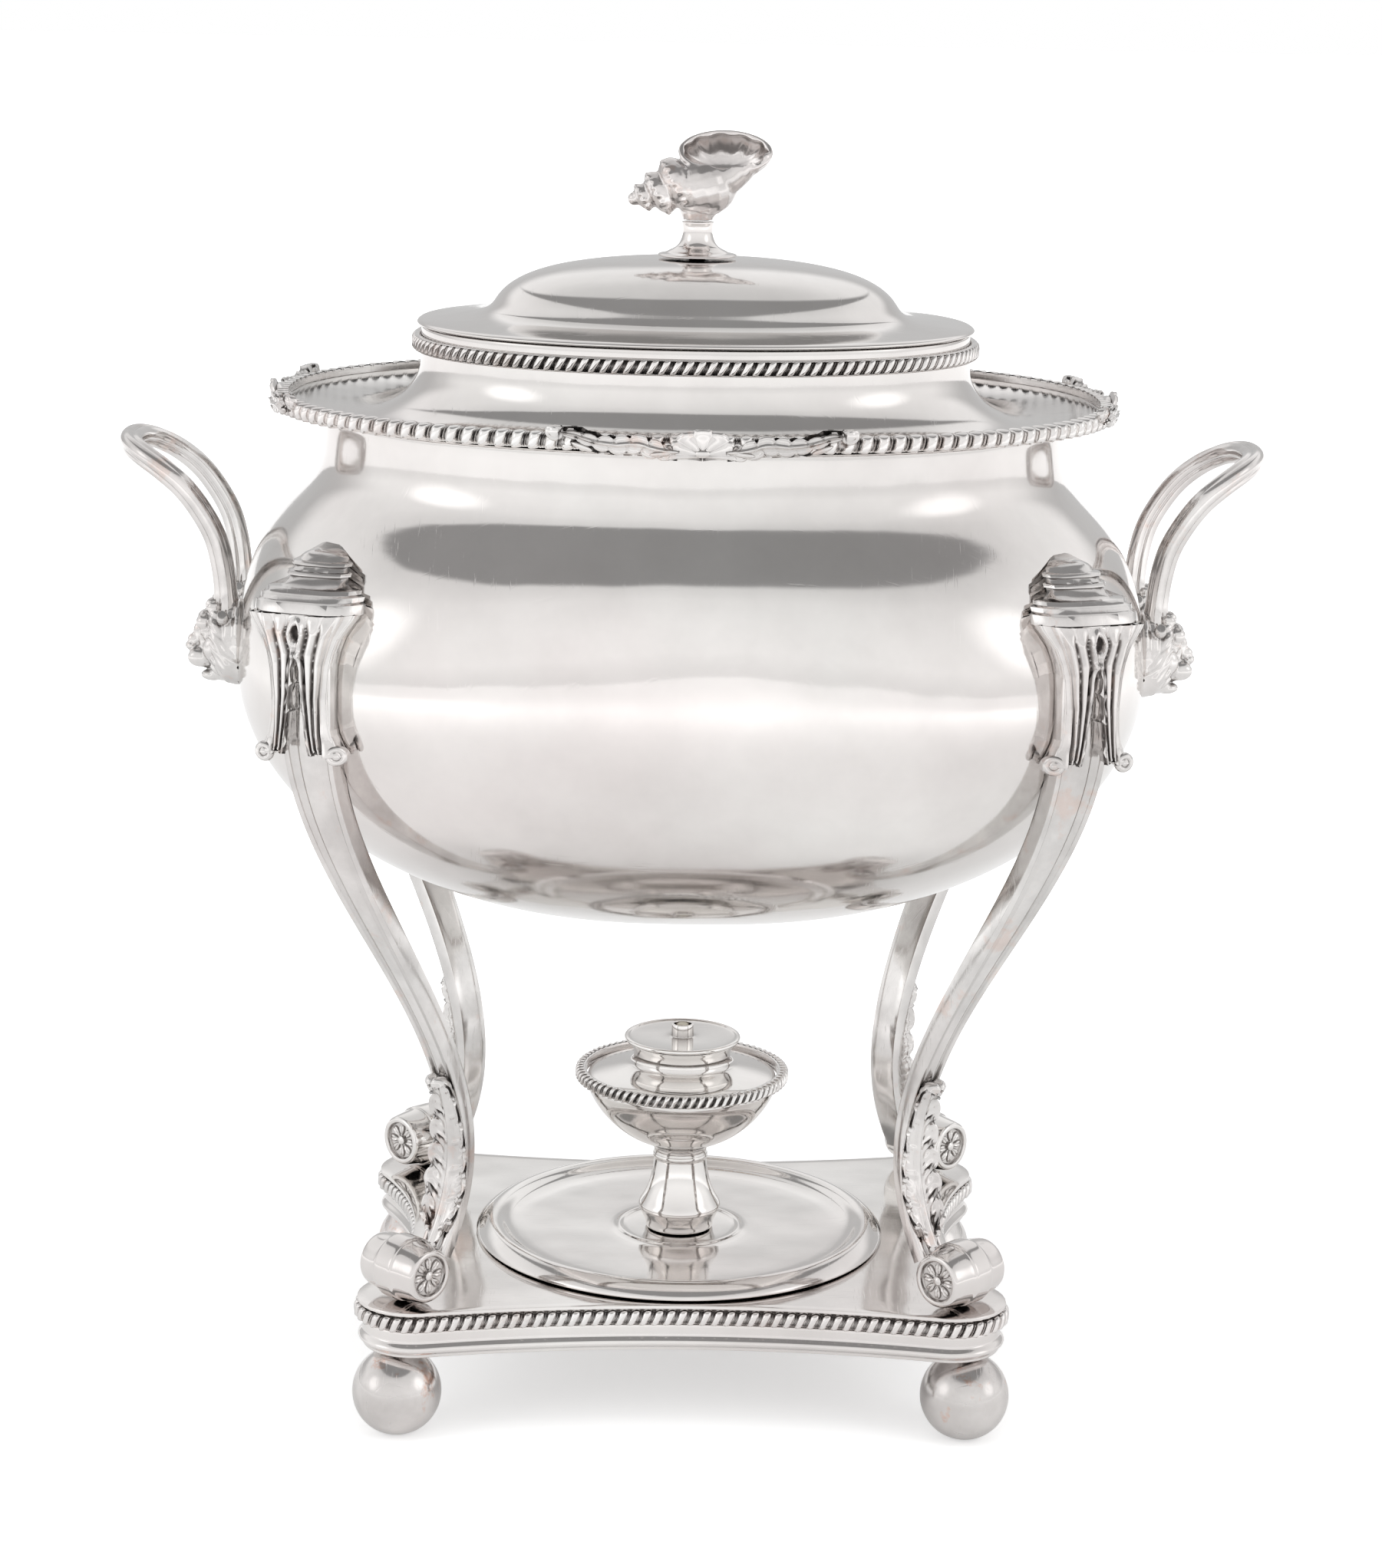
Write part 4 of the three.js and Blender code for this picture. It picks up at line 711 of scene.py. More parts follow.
# %% Ball feet
ball_radius, ball_middle, ball_x, ball_y = 14, 13.68, 87.7, 66.5
ball_profile = [(0, 0), (2.6, 0.02)]
for i in range(1, 10):
    turn = math.radians(-76 + i * 15.2)
    ball_profile.append((ball_radius * math.cos(turn), ball_middle + ball_radius * math.sin(turn)))
ball_profile += [(4.5, 27.0, 0.4), (4.4, 29.3, 0.2), (2.6, 29.5, 0.2), (2.6, 40.7, 0.2), (0, 40.8)]
ball = smoothed(turned("ball", ball_profile, 32), 2, 60)
# side, back, and the turn in degrees that points X outwards
corner_names = {
    "front_right": (1, -1, -45), "front_left": (-1, -1, -135),
    "back_right": (1, 1, 45), "back_left": (-1, 1, 135),
}


def at_corner(name, x, y):
    side, back, turn = corner_names[name]
    return Matrix.Translation((side * x, back * y, 0)) @ Matrix.Rotation(math.radians(turn), 4, "Z")


for name in corner_names:
    foot = copy_of(ball, f"ball_{name}")
    done(foot, worn, "urn", "silver_plate", f"ball_foot_{name}", place_matrix=at_corner(name, ball_x, ball_y))
bpy.data.objects.remove(ball)

# %% [markdown]
# ## Base
# The tray's outline has round corners joined by hollow sides. We walk round that
# outline once and keep, at equal steps of length, the point and the direction
# outwards. Any moulding can then be carried round it: a grid is a strip of clay, its
# rows go round the outline and its columns follow the section.

# %% Walks round an outline
def even_walk(points, count):
    """count points at equal steps round a closed outline, with outward directions."""
    closed = np.vstack([points, points[:1]])
    lengths = np.concatenate([[0], np.cumsum(np.linalg.norm(np.diff(closed, axis=0), axis=1))])
    at = np.linspace(0, lengths[-1], count, endpoint=False)

    def spots(at):
        return side_by_side(*(np.interp(at, lengths, closed[:, k]) for k in range(2)))

    along = spots((at + 0.5) % lengths[-1]) - spots((at - 0.5) % lengths[-1])
    along /= np.linalg.norm(along, axis=1)[:, None]
    return spots(at), side_by_side(along[:, 1], -along[:, 0]), lengths[-1]


def shifted(walk, out):
    return (walk[0] + walk[1] * out, *walk[1:])


def oblong_walk(radius, count):
    turn, power = np.linspace(0, 2 * math.pi, 4000, endpoint=False), rim_squareness
    stretch = radius * (np.abs(np.cos(turn)) ** power + np.abs(np.sin(turn)) ** power) ** (-1 / power)
    return even_walk(side_by_side(stretch * np.cos(turn), stretch * np.sin(turn) * depth_share), count)


plate_corner = Vector((82.9, 59.4))
corner_radius, front_waist, side_waist = 17.4, 67.8, 86


def hollow_arc(half, out, waist):
    inner = waist - corner_radius
    centre = (half ** 2 + out ** 2 - inner ** 2) / (2 * (out - inner))
    return centre, centre - waist, math.atan2(half, centre - out)


def plate_walk(count):
    front_centre, front_radius, front_turn = hollow_arc(plate_corner.x, plate_corner.y, front_waist)
    side_centre, side_radius, side_turn = hollow_arc(plate_corner.y, plate_corner.x, side_waist)
    turn = np.linspace(0, side_turn, 200, endpoint=False)
    quarter = [side_by_side(side_centre - side_radius * np.cos(turn), side_radius * np.sin(turn))]
    turn = np.linspace(-side_turn, math.pi / 2 + front_turn, 400, endpoint=False)
    quarter.append(np.array(plate_corner) + corner_radius * side_by_side(np.cos(turn), np.sin(turn)))
    turn = np.linspace(front_turn, 0, 200, endpoint=False)
    quarter.append(side_by_side(front_radius * np.sin(turn), front_centre - front_radius * np.cos(turn)))
    right_back = np.vstack(quarter)
    left_back = np.vstack([[[0, front_waist]], right_back[:0:-1] * (-1, 1)])
    half = np.vstack([right_back, left_back])
    return even_walk(np.vstack([half, -half]), count)


def clay_strip(name, columns, rows):
    """A grid with that many faces each way, and its points' shares from 0 to 1."""
    hold()
    bpy.ops.mesh.primitive_grid_add(x_subdivisions=columns, y_subdivisions=rows, size=1)
    item = named(name)
    table = points_of(item)
    return item, table[:, 0] + 0.5, table[:, 1] + 0.5


def welded(item, gap=0.004):
    edit(item)
    bpy.ops.mesh.remove_doubles(threshold=gap)
    bpy.ops.mesh.normals_make_consistent(inside=False)
    hold(item)
    return item


def moulding(name, walk, profile):
    """Carries a closed section of (outward, height) points round a walk."""
    place, outward, length = walk
    section = profile_points(profile + profile[:1])[:-1]
    item, around, across = clay_strip(name, len(place), len(section))
    row = np.rint(around * len(place)).astype(int) % len(place)
    column = np.rint(across * len(section)).astype(int) % len(section)
    section = np.array([(p.x, p.y) for p in section])[column]
    table = np.zeros((len(row), 3))
    table[:, :2] = place[row] + outward[row] * section[:, :1]
    table[:, 2] = section[:, 1]
    return smoothed(welded(move_points(item, table)), 1, 50)


# %% Base plate and apron
plate_top, plate_bottom = 42.5, 41.2
plate_steps = 240
place, outward, length = plate_walk(plate_steps)
print("round the plate:", round(length), "mm")
# how far outside the outline, and at what height, each ring of points lies
rings = [
    (-40, plate_bottom), (-1.0, plate_bottom), (-0.25, plate_bottom + 0.03), (0, plate_bottom + 0.3),
    (0, plate_top - 0.4), (-0.15, plate_top - 0.1), (-0.6, plate_top), (-3, plate_top), (-14, plate_top),
    (-16, plate_top), (-38, plate_top), (-40, plate_top),
]
plate, around, across = clay_strip("tray_plate", plate_steps, len(rings) - 1)
row = np.rint(around * plate_steps).astype(int) % plate_steps
ring = np.array(rings)[np.rint(across * (len(rings) - 1)).astype(int)]
table = np.zeros((len(row), 3))
inner = place[row] + outward[row] * np.maximum(ring[:, :1], -16)
pull = smooth_step(-ring[:, :1], 16, 40) * 0.6
table[:, :2] = inner * (1 - pull)
table[:, 2] = ring[:, 1]
plate = facing_out(open_ends_filled(welded(move_points(plate, table))))
done(smoothed(plate, 0, 30), polished, "urn", "silver_plate", "base_plate")

apron_profile = [
    (-2.6, 40.85, 0.1), (-2.5, 35.7, 0.1), (-1.8, 35.55, 0.2), (-1.75, 32.2, 0.2), (-1.2, 31.6),
    (-0.05, 30.6), (-0.05, 29.6), (-1.5, 28.5, 0.2), (-1.6, 27.35, 0.2), (-4.0, 27.35, 0.2),
    (-4.1, 40.85, 0.2),
]
apron = moulding("tray_apron", plate_walk(200), apron_profile)
done(apron, polished, "urn", "silver_plate", "base_apron")

# %% [markdown]
# ## Drip pan
# A round dish with a thick rolled border and a small step in the middle for the lamp.

# %% Drip pan
pan_z = 42.8
pan_profile = [
    (0, 0), (60, 0), (65.4, 0.05), (65.9, 0.5), (65.4, 1.5), (64.0, 3.0), (62.0, 4.35), (60.6, 4.9),
    (59.0, 4.85), (57.6, 4.1), (56.6, 3.1), (55.4, 2.2), (53.6, 1.6), (51.2, 1.32), (40, 1.28), (24, 1.28),
    (21.2, 1.3), (20.4, 1.7), (19.6, 2.35), (18.8, 2.2), (18.4, 1.6), (17.8, 1.3), (10, 1.28), (0, 1.28),
]
pan = smoothed(turned("pan_under_lamp", raised(pan_profile, pan_z), 80), 1, 60)
done(pan, polished, "urn", "silver_plate", "drip_pan")

# %% [markdown]
# ## Spirit lamp
# The lamp stands loose in the pan and lifts out. It has a bell foot, a waist with a
# thin ring, a half-round bowl, a sloping shoulder with a waisted neck, and a disc
# that plugs the neck and carries the wick tube.

# %% Lamp bowl with foot
lamp_z = 44.4
lamp_profile = [
    (0, 0), (10.6, 0.02, 0.2), (11.0, 0.6), (11.1, 2.0), (12.0, 4.2), (13.3, 6.6), (13.3, 8.0), (12.2, 9.6),
    (10.6, 12.6), (9.4, 16.4), (8.7, 20.5), (8.4, 23.6, 0.2), (8.9, 24.0), (8.9, 24.9), (8.4, 25.3, 0.2),
    (8.5, 27.0), (9.4, 28.2, 0.3), (11.8, 29.3), (16.5, 31.4), (21.5, 34.9), (25.8, 39.3), (28.9, 44.0),
    (30.5, 47.6), (31.0, 49.4, 0.2), (29.6, 49.45, 0.2), (28.9, 46.4), (26.4, 41.6), (22.2, 36.8),
    (15.5, 32.4), (7, 30.4), (0, 30),
]
bowl = smoothed(turned("lamp_cup", raised(lamp_profile, lamp_z), 48), 2, 60)
done(bowl, polished, "lamp", "silver_plate", "lamp_bowl")

# %% Lamp shoulder, disc and wick
shoulder_z = 94.2
shoulder_profile = [
    (30.3, 0.1), (30.4, 1.4), (29.4, 2.5), (25, 3.5), (19.6, 4.5), (17.0, 5.1), (15.9, 6.0), (15.5, 7.4),
    (15.5, 9.6), (16.3, 11.4), (17.4, 12.6, 0.2), (16.8, 12.8, 0.2), (14.2, 12.8, 0.2), (14.2, 6),
    (15.4, 4.2), (20, 3.2), (28.8, 0.3), (29.6, 0.05), (30.3, 0.1),
]
shoulder = smoothed(turned("lamp_neck", raised(shoulder_profile, shoulder_z), 48), 2, 60)
done(shoulder, polished, "lamp", "silver_plate", "lamp_shoulder")

disc_z = 107.3
disc_profile = [
    (2.7, -5.9), (13.4, -5.95, 0.3), (13.9, -5.4), (13.9, -0.05, 0.1), (18.2, 0, 0.2), (18.7, 0.5),
    (18.7, 1.1), (18.2, 1.5), (17.3, 1.5), (16.9, 1.0, 0.1), (10, 0.95), (4.4, 0.98, 0.3), (3.6, 1.2, 0.1),
    (3.5, 5.2, 0.15), (2.75, 5.3, 0.15), (2.7, -5.9),
]
disc = smoothed(turned("burner_plate", raised(disc_profile, disc_z), 48), 2, 50)
done(disc, polished, "burner", "silver_plate", "burner_disc")

wick_profile = [(0, 76.9), (1.9, 77), (2.3, 77.6), (2.35, 95), (2.3, 111.8), (1.7, 112.7), (0, 112.5)]
wick_piece = smoothed(turned("twisted_wick", wick_profile, 24), 2, 60)
table = points_of(wick_piece)
turn = np.arctan2(table[:, 1], table[:, 0])
strand = 1 - 0.09 * np.abs(np.sin(2.5 * turn + table[:, 2] * 1.1))
table[:, :2] *= strand[:, None]
move_points(wick_piece, table)
done(wick_piece, cotton, "wick", "cotton_wick", "wick")

# %% [markdown]
# ## The four corner stands
# Every corner has the same five pieces: a scroll foot, an S-shaped leg, a leaf, a
# drapery panel and a cap. Each is modelled once, with X pointing outward from the
# scroll foot, Y across and Z up, and then copied to the four corners. The vessel
# isn't round, so the backs are fitted to its wall at each corner after copying. The
# scroll feet point to the corners, but the caps face more to the front, as in the
# photograph, so each leg twists by a few degrees between its knee and its top.

# %% Where the wall is
scroll_x, scroll_y, scroll_z = 85.4, 64.1, 52.9
knee_z, leg_shoulder_z, bracket_turn = 86.9, 228, math.radians(25)
diagonal = math.sqrt(0.5)


def leg_reach(z):
    """Reach of a leg's middle line, outward from its scroll foot."""
    return -22.2 + 58.2 * smooth_step(z, knee_z, leg_shoulder_z) + np.maximum(knee_z - z, 0) ** 2 / 108


def wall_reach(across, z, hand=1):
    """How far out from the scroll foot's axis the vessel's wall stands."""
    across, z = np.broadcast_arrays(np.asarray(across, float), np.asarray(z, float))
    radius, power = vessel_radius(z), squareness_at(z)
    near, far = np.full(z.shape, -100.0), np.full(z.shape, 120.0)
    for halving in range(32):
        reach = (near + far) / 2
        x = np.abs(scroll_x + diagonal * (reach + hand * across)) / radius
        y = np.abs(scroll_y + diagonal * (reach - hand * across)) / (radius * depth_share)
        within = x ** power + y ** power < 1
        near, far = np.where(within, reach, near), np.where(within, far, reach)
    return near


def fitted(item, hand, sink=0.5):
    """Draws every point that lies inside the vessel out to just under its skin."""
    table = points_of(item)
    level = (table[:, 2] > vessel_bottom + 4) & (table[:, 2] < neck_top)
    reach = wall_reach(table[level, 1], table[level, 2], hand) - sink
    table[level, 0] = np.maximum(table[level, 0], reach)
    return move_points(item, table)


def bracket_turned(item, hand, bow=0):
    """Turns a leg's top, its drapery and its cap towards the urn's long side, and bows
    the inner ends of the last two back until they hug the wall."""
    table = points_of(item)
    table[:, 1] += 1.75 * hand * (bow > 0)
    turn = -hand * bracket_turn * smooth_step(table[:, 2], knee_z + 34, 216.6)
    middle = leg_reach(table[:, 2])
    out, across = table[:, 0] - middle, table[:, 1].copy()
    out -= bow * smooth_step(-hand * across, 5, 17)
    table[:, 0] = middle + out * np.cos(turn) - across * np.sin(turn)
    table[:, 1] = out * np.sin(turn) + across * np.cos(turn)
    return move_points(item, table)


def at_corners(item, prefix, material, slot, node, fit=False, bow=0):
    """Copies a piece to the four corners. With fit it is turned and drawn to the wall too."""
    for name, (side, back, _) in corner_names.items():
        part = copy_of(item, f"{prefix}_{name}")
        if fit:
            fitted(bracket_turned(part, side * -back, bow), side * -back)
        here = at_corner(name, scroll_x, scroll_y)
        done(part, material, "urn", slot, f"{node}_{name}", place_matrix=here)
    bpy.data.objects.remove(item)


print("wall at the belly's corner:", wall_reach(0, belly_z).round(1))

# %% [markdown]
# ## Legs
# A leg is a flat bar that sweeps in an S from the vessel's shoulder down to the
# scroll foot. Its outer face is sunk between two ribs. We roll a clay strip into a
# tube with that section and send each row of it to its height on the S.

# %% Leg
def leg_size(z):
    taper = np.clip((z - knee_z) / (leg_shoulder_z - knee_z), 0, 1) ** 1.6
    return 5.15 + 2.75 * taper, 2.5 + 2.3 * taper


def on_leg(z, out, across):
    slope = leg_reach(z + 0.5) - leg_reach(z - 0.5)
    length = np.hypot(1, slope)
    return side_by_side(leg_reach(z) + out / length, across, z - out * slope / length)


def leg_section(half, thick):
    section = [
        (-thick, 0), (-thick, half, 0.35), (thick, half, 0.3), (thick, half - 1.5, 0.2),
        (thick - 1.2, half - 2.0, 0.2), (thick - 1.2, half * 0.42, 0.2), (thick - 0.4, half * 0.34, 0.15),
        (thick - 0.3, 0), (thick - 0.4, -half * 0.34, 0.15), (thick - 1.2, -half * 0.42, 0.2),
        (thick - 1.2, 2.0 - half, 0.2), (thick, 1.5 - half, 0.2), (thick, -half, 0.3), (-thick, -half, 0.35),
        (-thick, 0),
    ]
    return [(p.x, p.y) for p in profile_points(section)[:-1]]


leg_foot_z, leg_top_z = scroll_z + 1.5, 258.4
leg_rows, leg_columns = 64, len(leg_section(5, 2.5))
leg, along, around = clay_strip("leg", leg_rows, leg_columns)
height = leg_foot_z + (leg_top_z - leg_foot_z) * along
column = np.rint(around * leg_columns).astype(int) % leg_columns
half, thick = leg_size(height)
sections = np.array([np.array(leg_section(h, t))[c] for h, t, c in zip(half, thick, column)])
move_points(leg, on_leg(height, sections[:, 0], sections[:, 1]))
smoothed(open_ends_filled(welded(leg)), 1, 50)
at_corners(leg, "s_leg", cast, "silver_plate", "leg", fit=True)

# %% [markdown]
# ## Caps
# The cap is built like a small pediment: a slab, two rounded mouldings, a hollow, two
# fillets with a plain band between, and an arch. This is extrude and scale, step by
# step, with the back edge held at the wall, and a bevel to finish the edges.

# %% Cap
cap_z, cap_half, cap_depth, cap_seat = 261.0, 16.6, 13.5, 12
first_width, first_depth = 0.985, 0.96
# rise, then width and depth as shares of the slab's
cap_steps = [
    (0.3, 1.0, 1.0), (2.9, 1.0, 1.0), (3.2, 0.955, 0.96), (3.5, 0.94, 0.94), (4.8, 0.95, 0.95),
    (5.1, 0.90, 0.90), (5.3, 0.87, 0.88), (6.4, 0.87, 0.88), (6.5, 0.68, 0.78), (7.3, 0.61, 0.73),
    (8.3, 0.565, 0.70), (9.5, 0.55, 0.69), (9.6, 0.60, 0.74), (10.6, 0.60, 0.74), (10.7, 0.54, 0.69),
    (12.2, 0.52, 0.68), (12.3, 0.56, 0.72),
    (13.2, 0.56, 0.72), (13.3, 0.46, 0.66), (14.3, 0.45, 0.66), (15.1, 0.40, 0.66), (15.7, 0.32, 0.66),
    (16.1, 0.20, 0.66),
]
wall_here = float(wall_reach(0, cap_z))
centre = (wall_here - cap_seat + (cap_seat + cap_depth) / 2, 0, cap_z)
hold()
bpy.ops.mesh.primitive_plane_add(size=1, location=centre)
cap = named("cap")
bpy.ops.object.transform_apply(location=True)
edit(cap)
first_size = (cap_seat + cap_depth * first_depth, 2 * cap_half * first_width, 1)
bpy.ops.transform.resize(value=first_size, center_override=centre)
before = (0.0, first_width, first_depth)
for rise, width, depth in cap_steps:
    wall_next = float(wall_reach(0, cap_z + rise))
    step = (wall_next - wall_here, 0, rise - before[0])
    bpy.ops.mesh.extrude_region_move(TRANSFORM_OT_translate={"value": step})
    shrink = (cap_seat + cap_depth * depth) / (cap_seat + cap_depth * before[2])
    pivot = (wall_next - cap_seat, 0, cap_z + rise)
    bpy.ops.transform.resize(value=(shrink, width / before[1], 1), center_override=pivot)
    wall_here, before = wall_next, (rise, width, depth)
for cut in (-16, -15, -13.5, -12, -8, -4, 0, 4, 8, 12, 13.5, 15, 16):
    bpy.ops.mesh.select_all(action="SELECT")
    bpy.ops.mesh.bisect(plane_co=(0, cut, 0), plane_no=(0, 1, 0))
table = points_of(facing_out(cap))
rear = wall_reach(0, table[:, 2]) - 1
reach = np.array([np.abs(table[np.abs(table[:, 2] - z) < 0.02, 1]).max() for z in table[:, 2]])
share = np.abs(table[:, 1]) / np.maximum(reach, 1)
table[:, 0] = np.where(table[:, 0] > rear, rear + (table[:, 0] - rear) * (1 - 0.35 * share ** 6), table[:, 0])
move_points(cap, table)
applied(cap, "BEVEL", width=0.3, segments=2, limit_method="ANGLE", angle_limit=math.radians(40))
smoothed(cap, 0, 32)
at_corners(cap, "cap", cast, "cast_silver", "leg_cap", fit=True, bow=3)

# %% [markdown]
# ## Drapery panels
# Under each cap hangs a cast cloth on a bracket. The bracket flares into the slab at
# the top, pulls in to a waist and ends in volutes. The cloth is gathered in a knot
# below a small eye and parts in two tails, with stepped inner edges and the leg
# between them. All of it is one sheet: a flat strip whose points are lifted into a
# relief, whose two outer columns fold back to the wall, and which is given thickness.

# %% Drapery sheet
drape_front, drape_top, drape_low = 43.9, 261.2, 220.2
sheet, u, v = clay_strip("drape_sheet", 120, 150)
reach = np.abs(2 * u - 1)
down = (1 - v) * (drape_top - drape_low)
outline = np.interp(
    down, (0, 1.5, 4, 7, 11, 16, 24, 31, 35, 38, 41),
    (15.6, 15.0, 13.3, 11.5, 10.2, 9.3, 8.8, 9.1, 9.9, 11.1, 12.6),
)
band = np.interp(down, (0, 2, 6, 14, 24, 34, 41), (12.0, 11.2, 9.6, 7.6, 6.7, 6.8, 7.4))
step = np.interp(
    down, (0, 12.0, 13.2, 15.5, 18.5, 19.6, 20.4, 23.0, 26.5, 27.6, 28.6, 32.0, 35.5, 36.8, 39.0, 41),
    (0.02, 0.02, 0.7, 1.4, 1.3, 0.9, 1.8, 2.4, 2.3, 1.9, 2.8, 3.4, 3.3, 2.9, 4.0, 4.3),
)
slow = np.interp(down, (0, 3, 5.2, 8, 11, 14, 22, 32, 41), (0.0, 0.5, 1.4, 0.8, 0.0, 0.6, 1.5, 2.9, 4.4))
knots = (0, 0.10, 0.13, 0.16, 0.70, 0.92, 1)
across = np.zeros_like(down)
for start, end, low, high in zip(knots[:-1], knots[1:], (0, 0.97, 1, 1, 2, 3), (0.97, 1, 1, 2, 3, 3)):
    here = (reach >= start - 1e-9) & (reach <= end + 1e-9)
    at = np.clip((reach - start) / (end - start), 0, 1)
    level = low + (high - low) * at
    value = np.where(level <= 2, step + (band - step) * (level - 1), band + (outline - band) * (level - 2))
    across = np.where(here, np.where(level <= 1, step * level, value), across)
parted = smooth_step(down, 11.6, 12.8)
proud = smooth_step(reach, 0.105, 0.155) * parted + 1 - parted
share = np.clip((across - slow) / (band - slow), 0, 1)
folds = np.abs(np.sin(math.pi * (2.6 * share ** 0.8 + 0.16))) ** 0.8
relief = 1.6 * folds * smooth_step(down, -0.5, 5) * (1 - smooth_step(share, 0.9, 1.0)) + 0.3 * (1 - share)
relief += 0.9 * hump(np.hypot(across, (down - 5.0) * 0.55) - 1.9, 0.7)
relief += 1.6 * np.exp(-((down - 11.4) / 1.2) ** 2 - (across / 1.7) ** 2)
relief -= 2.2 * np.exp(-((across / 0.85) ** 2 + ((down - 5.0) / 1.8) ** 2) ** 2)
on_band = smooth_step(reach, 0.695, 0.73)
t = np.clip((across - band) / np.maximum(outline - band, 0.1), 0, 1)
bevel = -0.2 - 1.2 * t + 0.5 * hump(t - 0.14, 0.10) + 0.45 * hump(t - 0.88, 0.10)
bevel += 1.2 * smooth_step(down, 36, 41)
front = drape_front - 1.4 + (relief * (1 - on_band) + bevel * on_band) - 5.0 * (1 - proud)
back = np.interp(down, (0, 14, 30, 41), (26, 29, 31, 35))
folded_back = np.clip((reach - 0.92) / 0.08, 0, 1)
table = side_by_side(front + (back - front) * folded_back, np.sign(2 * u - 1) * across, drape_top - down)
tail = smooth_step(down, 38, 41) * (1 - on_band)
table[:, 2] += tail * (0.4 + 1.4 * np.abs(np.sin((across - 4.6) * 1.0)))
move_points(sheet, table)
applied(sheet, "SOLIDIFY", thickness=1.4, offset=-1)
smoothed(sheet, 0, 60)


def volute(sign, out, across, low, size):
    """A little roll: a thick ring in front, and a rod that ends in a knob at the wall."""
    hold()
    bpy.ops.mesh.primitive_torus_add(
        major_radius=size * 0.64, minor_radius=size * 0.36, major_segments=28, minor_segments=12
    )
    rim = named("volute_ring")
    roll = turned("volute_roll", [
        (0, -17), (1.6, -16.6), (2.5, -15), (2.6, -13.6), (1.9, -12), (1.5, -10.6), (1.7, -6),
        (size * 0.62, -2.6), (size * 0.62, 0.0), (size * 0.4, 0.8), (0, 1.1),
    ], 16)
    scroll = united("volute", [rim, roll])
    forward = Matrix.Rotation(math.pi / 2, 4, "Y") @ Matrix.Diagonal((1, 1, 1.3, 1))
    moved(scroll, Matrix.Translation((out, sign * across, low)) @ forward)
    return smoothed(scroll, 0, 70)


volutes = [volute(sign, drape_front - 2.4, 11.0, drape_low + 0.3, 3.0) for sign in (1, -1)]
drape = facing_out(united("drape", [sheet] + volutes))
at_corners(drape, "drape", cast, "cast_silver", "leg_drape", fit=True, bow=7)

# %% [markdown]
# ## Leaves
# A long acanthus leaf lies up the foot of each leg and its tip curls away. It is a
# flat strip again. The outline swells and is notched into round lobes that lean
# upwards, each lobe is a shallow spoon with a rolled edge, a midrib stands up along
# the middle, and a vein runs from it into every lobe.

# %% Leaf
leaf_low, leaf_length, lobes, lobes_end = scroll_z + 3.4, 59.5, 6, 0.93
leaf, u, v = clay_strip("leaf", 60, 176)
side, reach = 2 * u - 1, np.abs(2 * u - 1)
envelope = np.interp(
    v, (0, 0.08, 0.22, 0.4, 0.6, 0.8, 0.9, 0.96, 1), (5.6, 7.6, 9.0, 8.4, 7.2, 5.6, 4.4, 3.8, 1.2)
)
phase = (lobes * v / lobes_end) % 1
scallop = 0.66 + 0.34 * np.abs(np.sin(math.pi * phase)) ** 0.5
scallop = np.where(v > lobes_end, 1, scallop)
across = side * envelope * (1 - reach ** 2.2 * (1 - scallop))
z = leaf_low + leaf_length * v + 6.0 * reach ** 1.6 * (1 - 0.62 * v) * (v < lobes_end)
spoon = np.sin(math.pi * phase) * smooth_step(reach, 0.2, 0.55) * (1 - smooth_step(reach, 0.7, 0.95))
rolled_rim = hump(reach - 0.93, 0.09) * (0.4 + 0.6 * np.sin(math.pi * phase))
vein = hump(phase - 0.5, 0.10) * smooth_step(reach, 0.06, 0.2) * (1 - smooth_step(reach, 0.7, 0.95))
notch = hump(np.minimum(phase, 1 - phase), 0.12) * smooth_step(reach, 0.25, 0.7)
midrib = 1.25 * hump(across, 0.95, 4) * (1 - 0.4 * v)
lift = 0.8 + midrib - 0.55 * spoon + 0.75 * rolled_rim + 0.38 * vein - 0.8 * notch + 1.3 * reach ** 3
seat = leg_size(z)[1] + 0.1
level = leaf_low + leaf_length * 0.90
over = np.maximum(z - level, 0)
curl_radius, most_curl = 3.2, 2.7
arc, arm = np.minimum(over / 2.9, most_curl), curl_radius - lift
z_curled = np.minimum(z, level) + np.sin(arc) * np.where(over > 0, arm, 0)
out = seat + np.where(over > 0, curl_radius - arm * np.cos(arc), lift)
move_points(leaf, on_leg(z_curled, out, across))
applied(leaf, "SOLIDIFY", thickness=1.1, offset=-1)
smoothed(facing_out(leaf), 0, 60)
at_corners(leaf, "leaf", cast, "cast_silver", "leg_leaf")

# %% [markdown]
# ## Scroll feet
# Each leg stands on a drum that lies on the plate, with a raised band round its
# middle and an eight-petalled rosette sunk in each end.

# %% Scroll foot
half = 12
end = [
    (0, half - 1.5), (6.1, half - 1.5, 0.15), (6.4, half - 0.1, 0.15), (7.6, half, 0.3),
    (8.3, half - 0.7, 0.2), (8.7, half - 2.5), (9.1, half - 5.5), (9.4, half - 8.2, 0.2),
    (10.0, half - 8.6, 0.15), (10.1, half - 9.2),
]
drum_profile = end + [(10.1, 0)] + [(radius, -z, *corner) for radius, z, *corner in end[::-1]]
drum = smoothed(turned("drum", drum_profile, 40), 1, 40)
hold()
bpy.ops.mesh.primitive_uv_sphere_add(segments=12, ring_count=8, radius=1)
petal = named("petal")
x, y, z = points_of(petal).T
table = side_by_side(3.75 + 2.15 * x, y * (1.15 + 0.45 * x), z * 0.85 + half - 1.4)
table[:, 2] -= 0.5 * hump(table[:, 1], 0.35) * (table[:, 2] > half - 1.4)
move_points(petal, table)
flower = []
for i in range(8):
    blade = copy_of(petal)
    moved(blade, Matrix.Rotation(i * math.pi / 4, 4, "Z"))
    flower.append(blade)
bpy.data.objects.remove(petal)
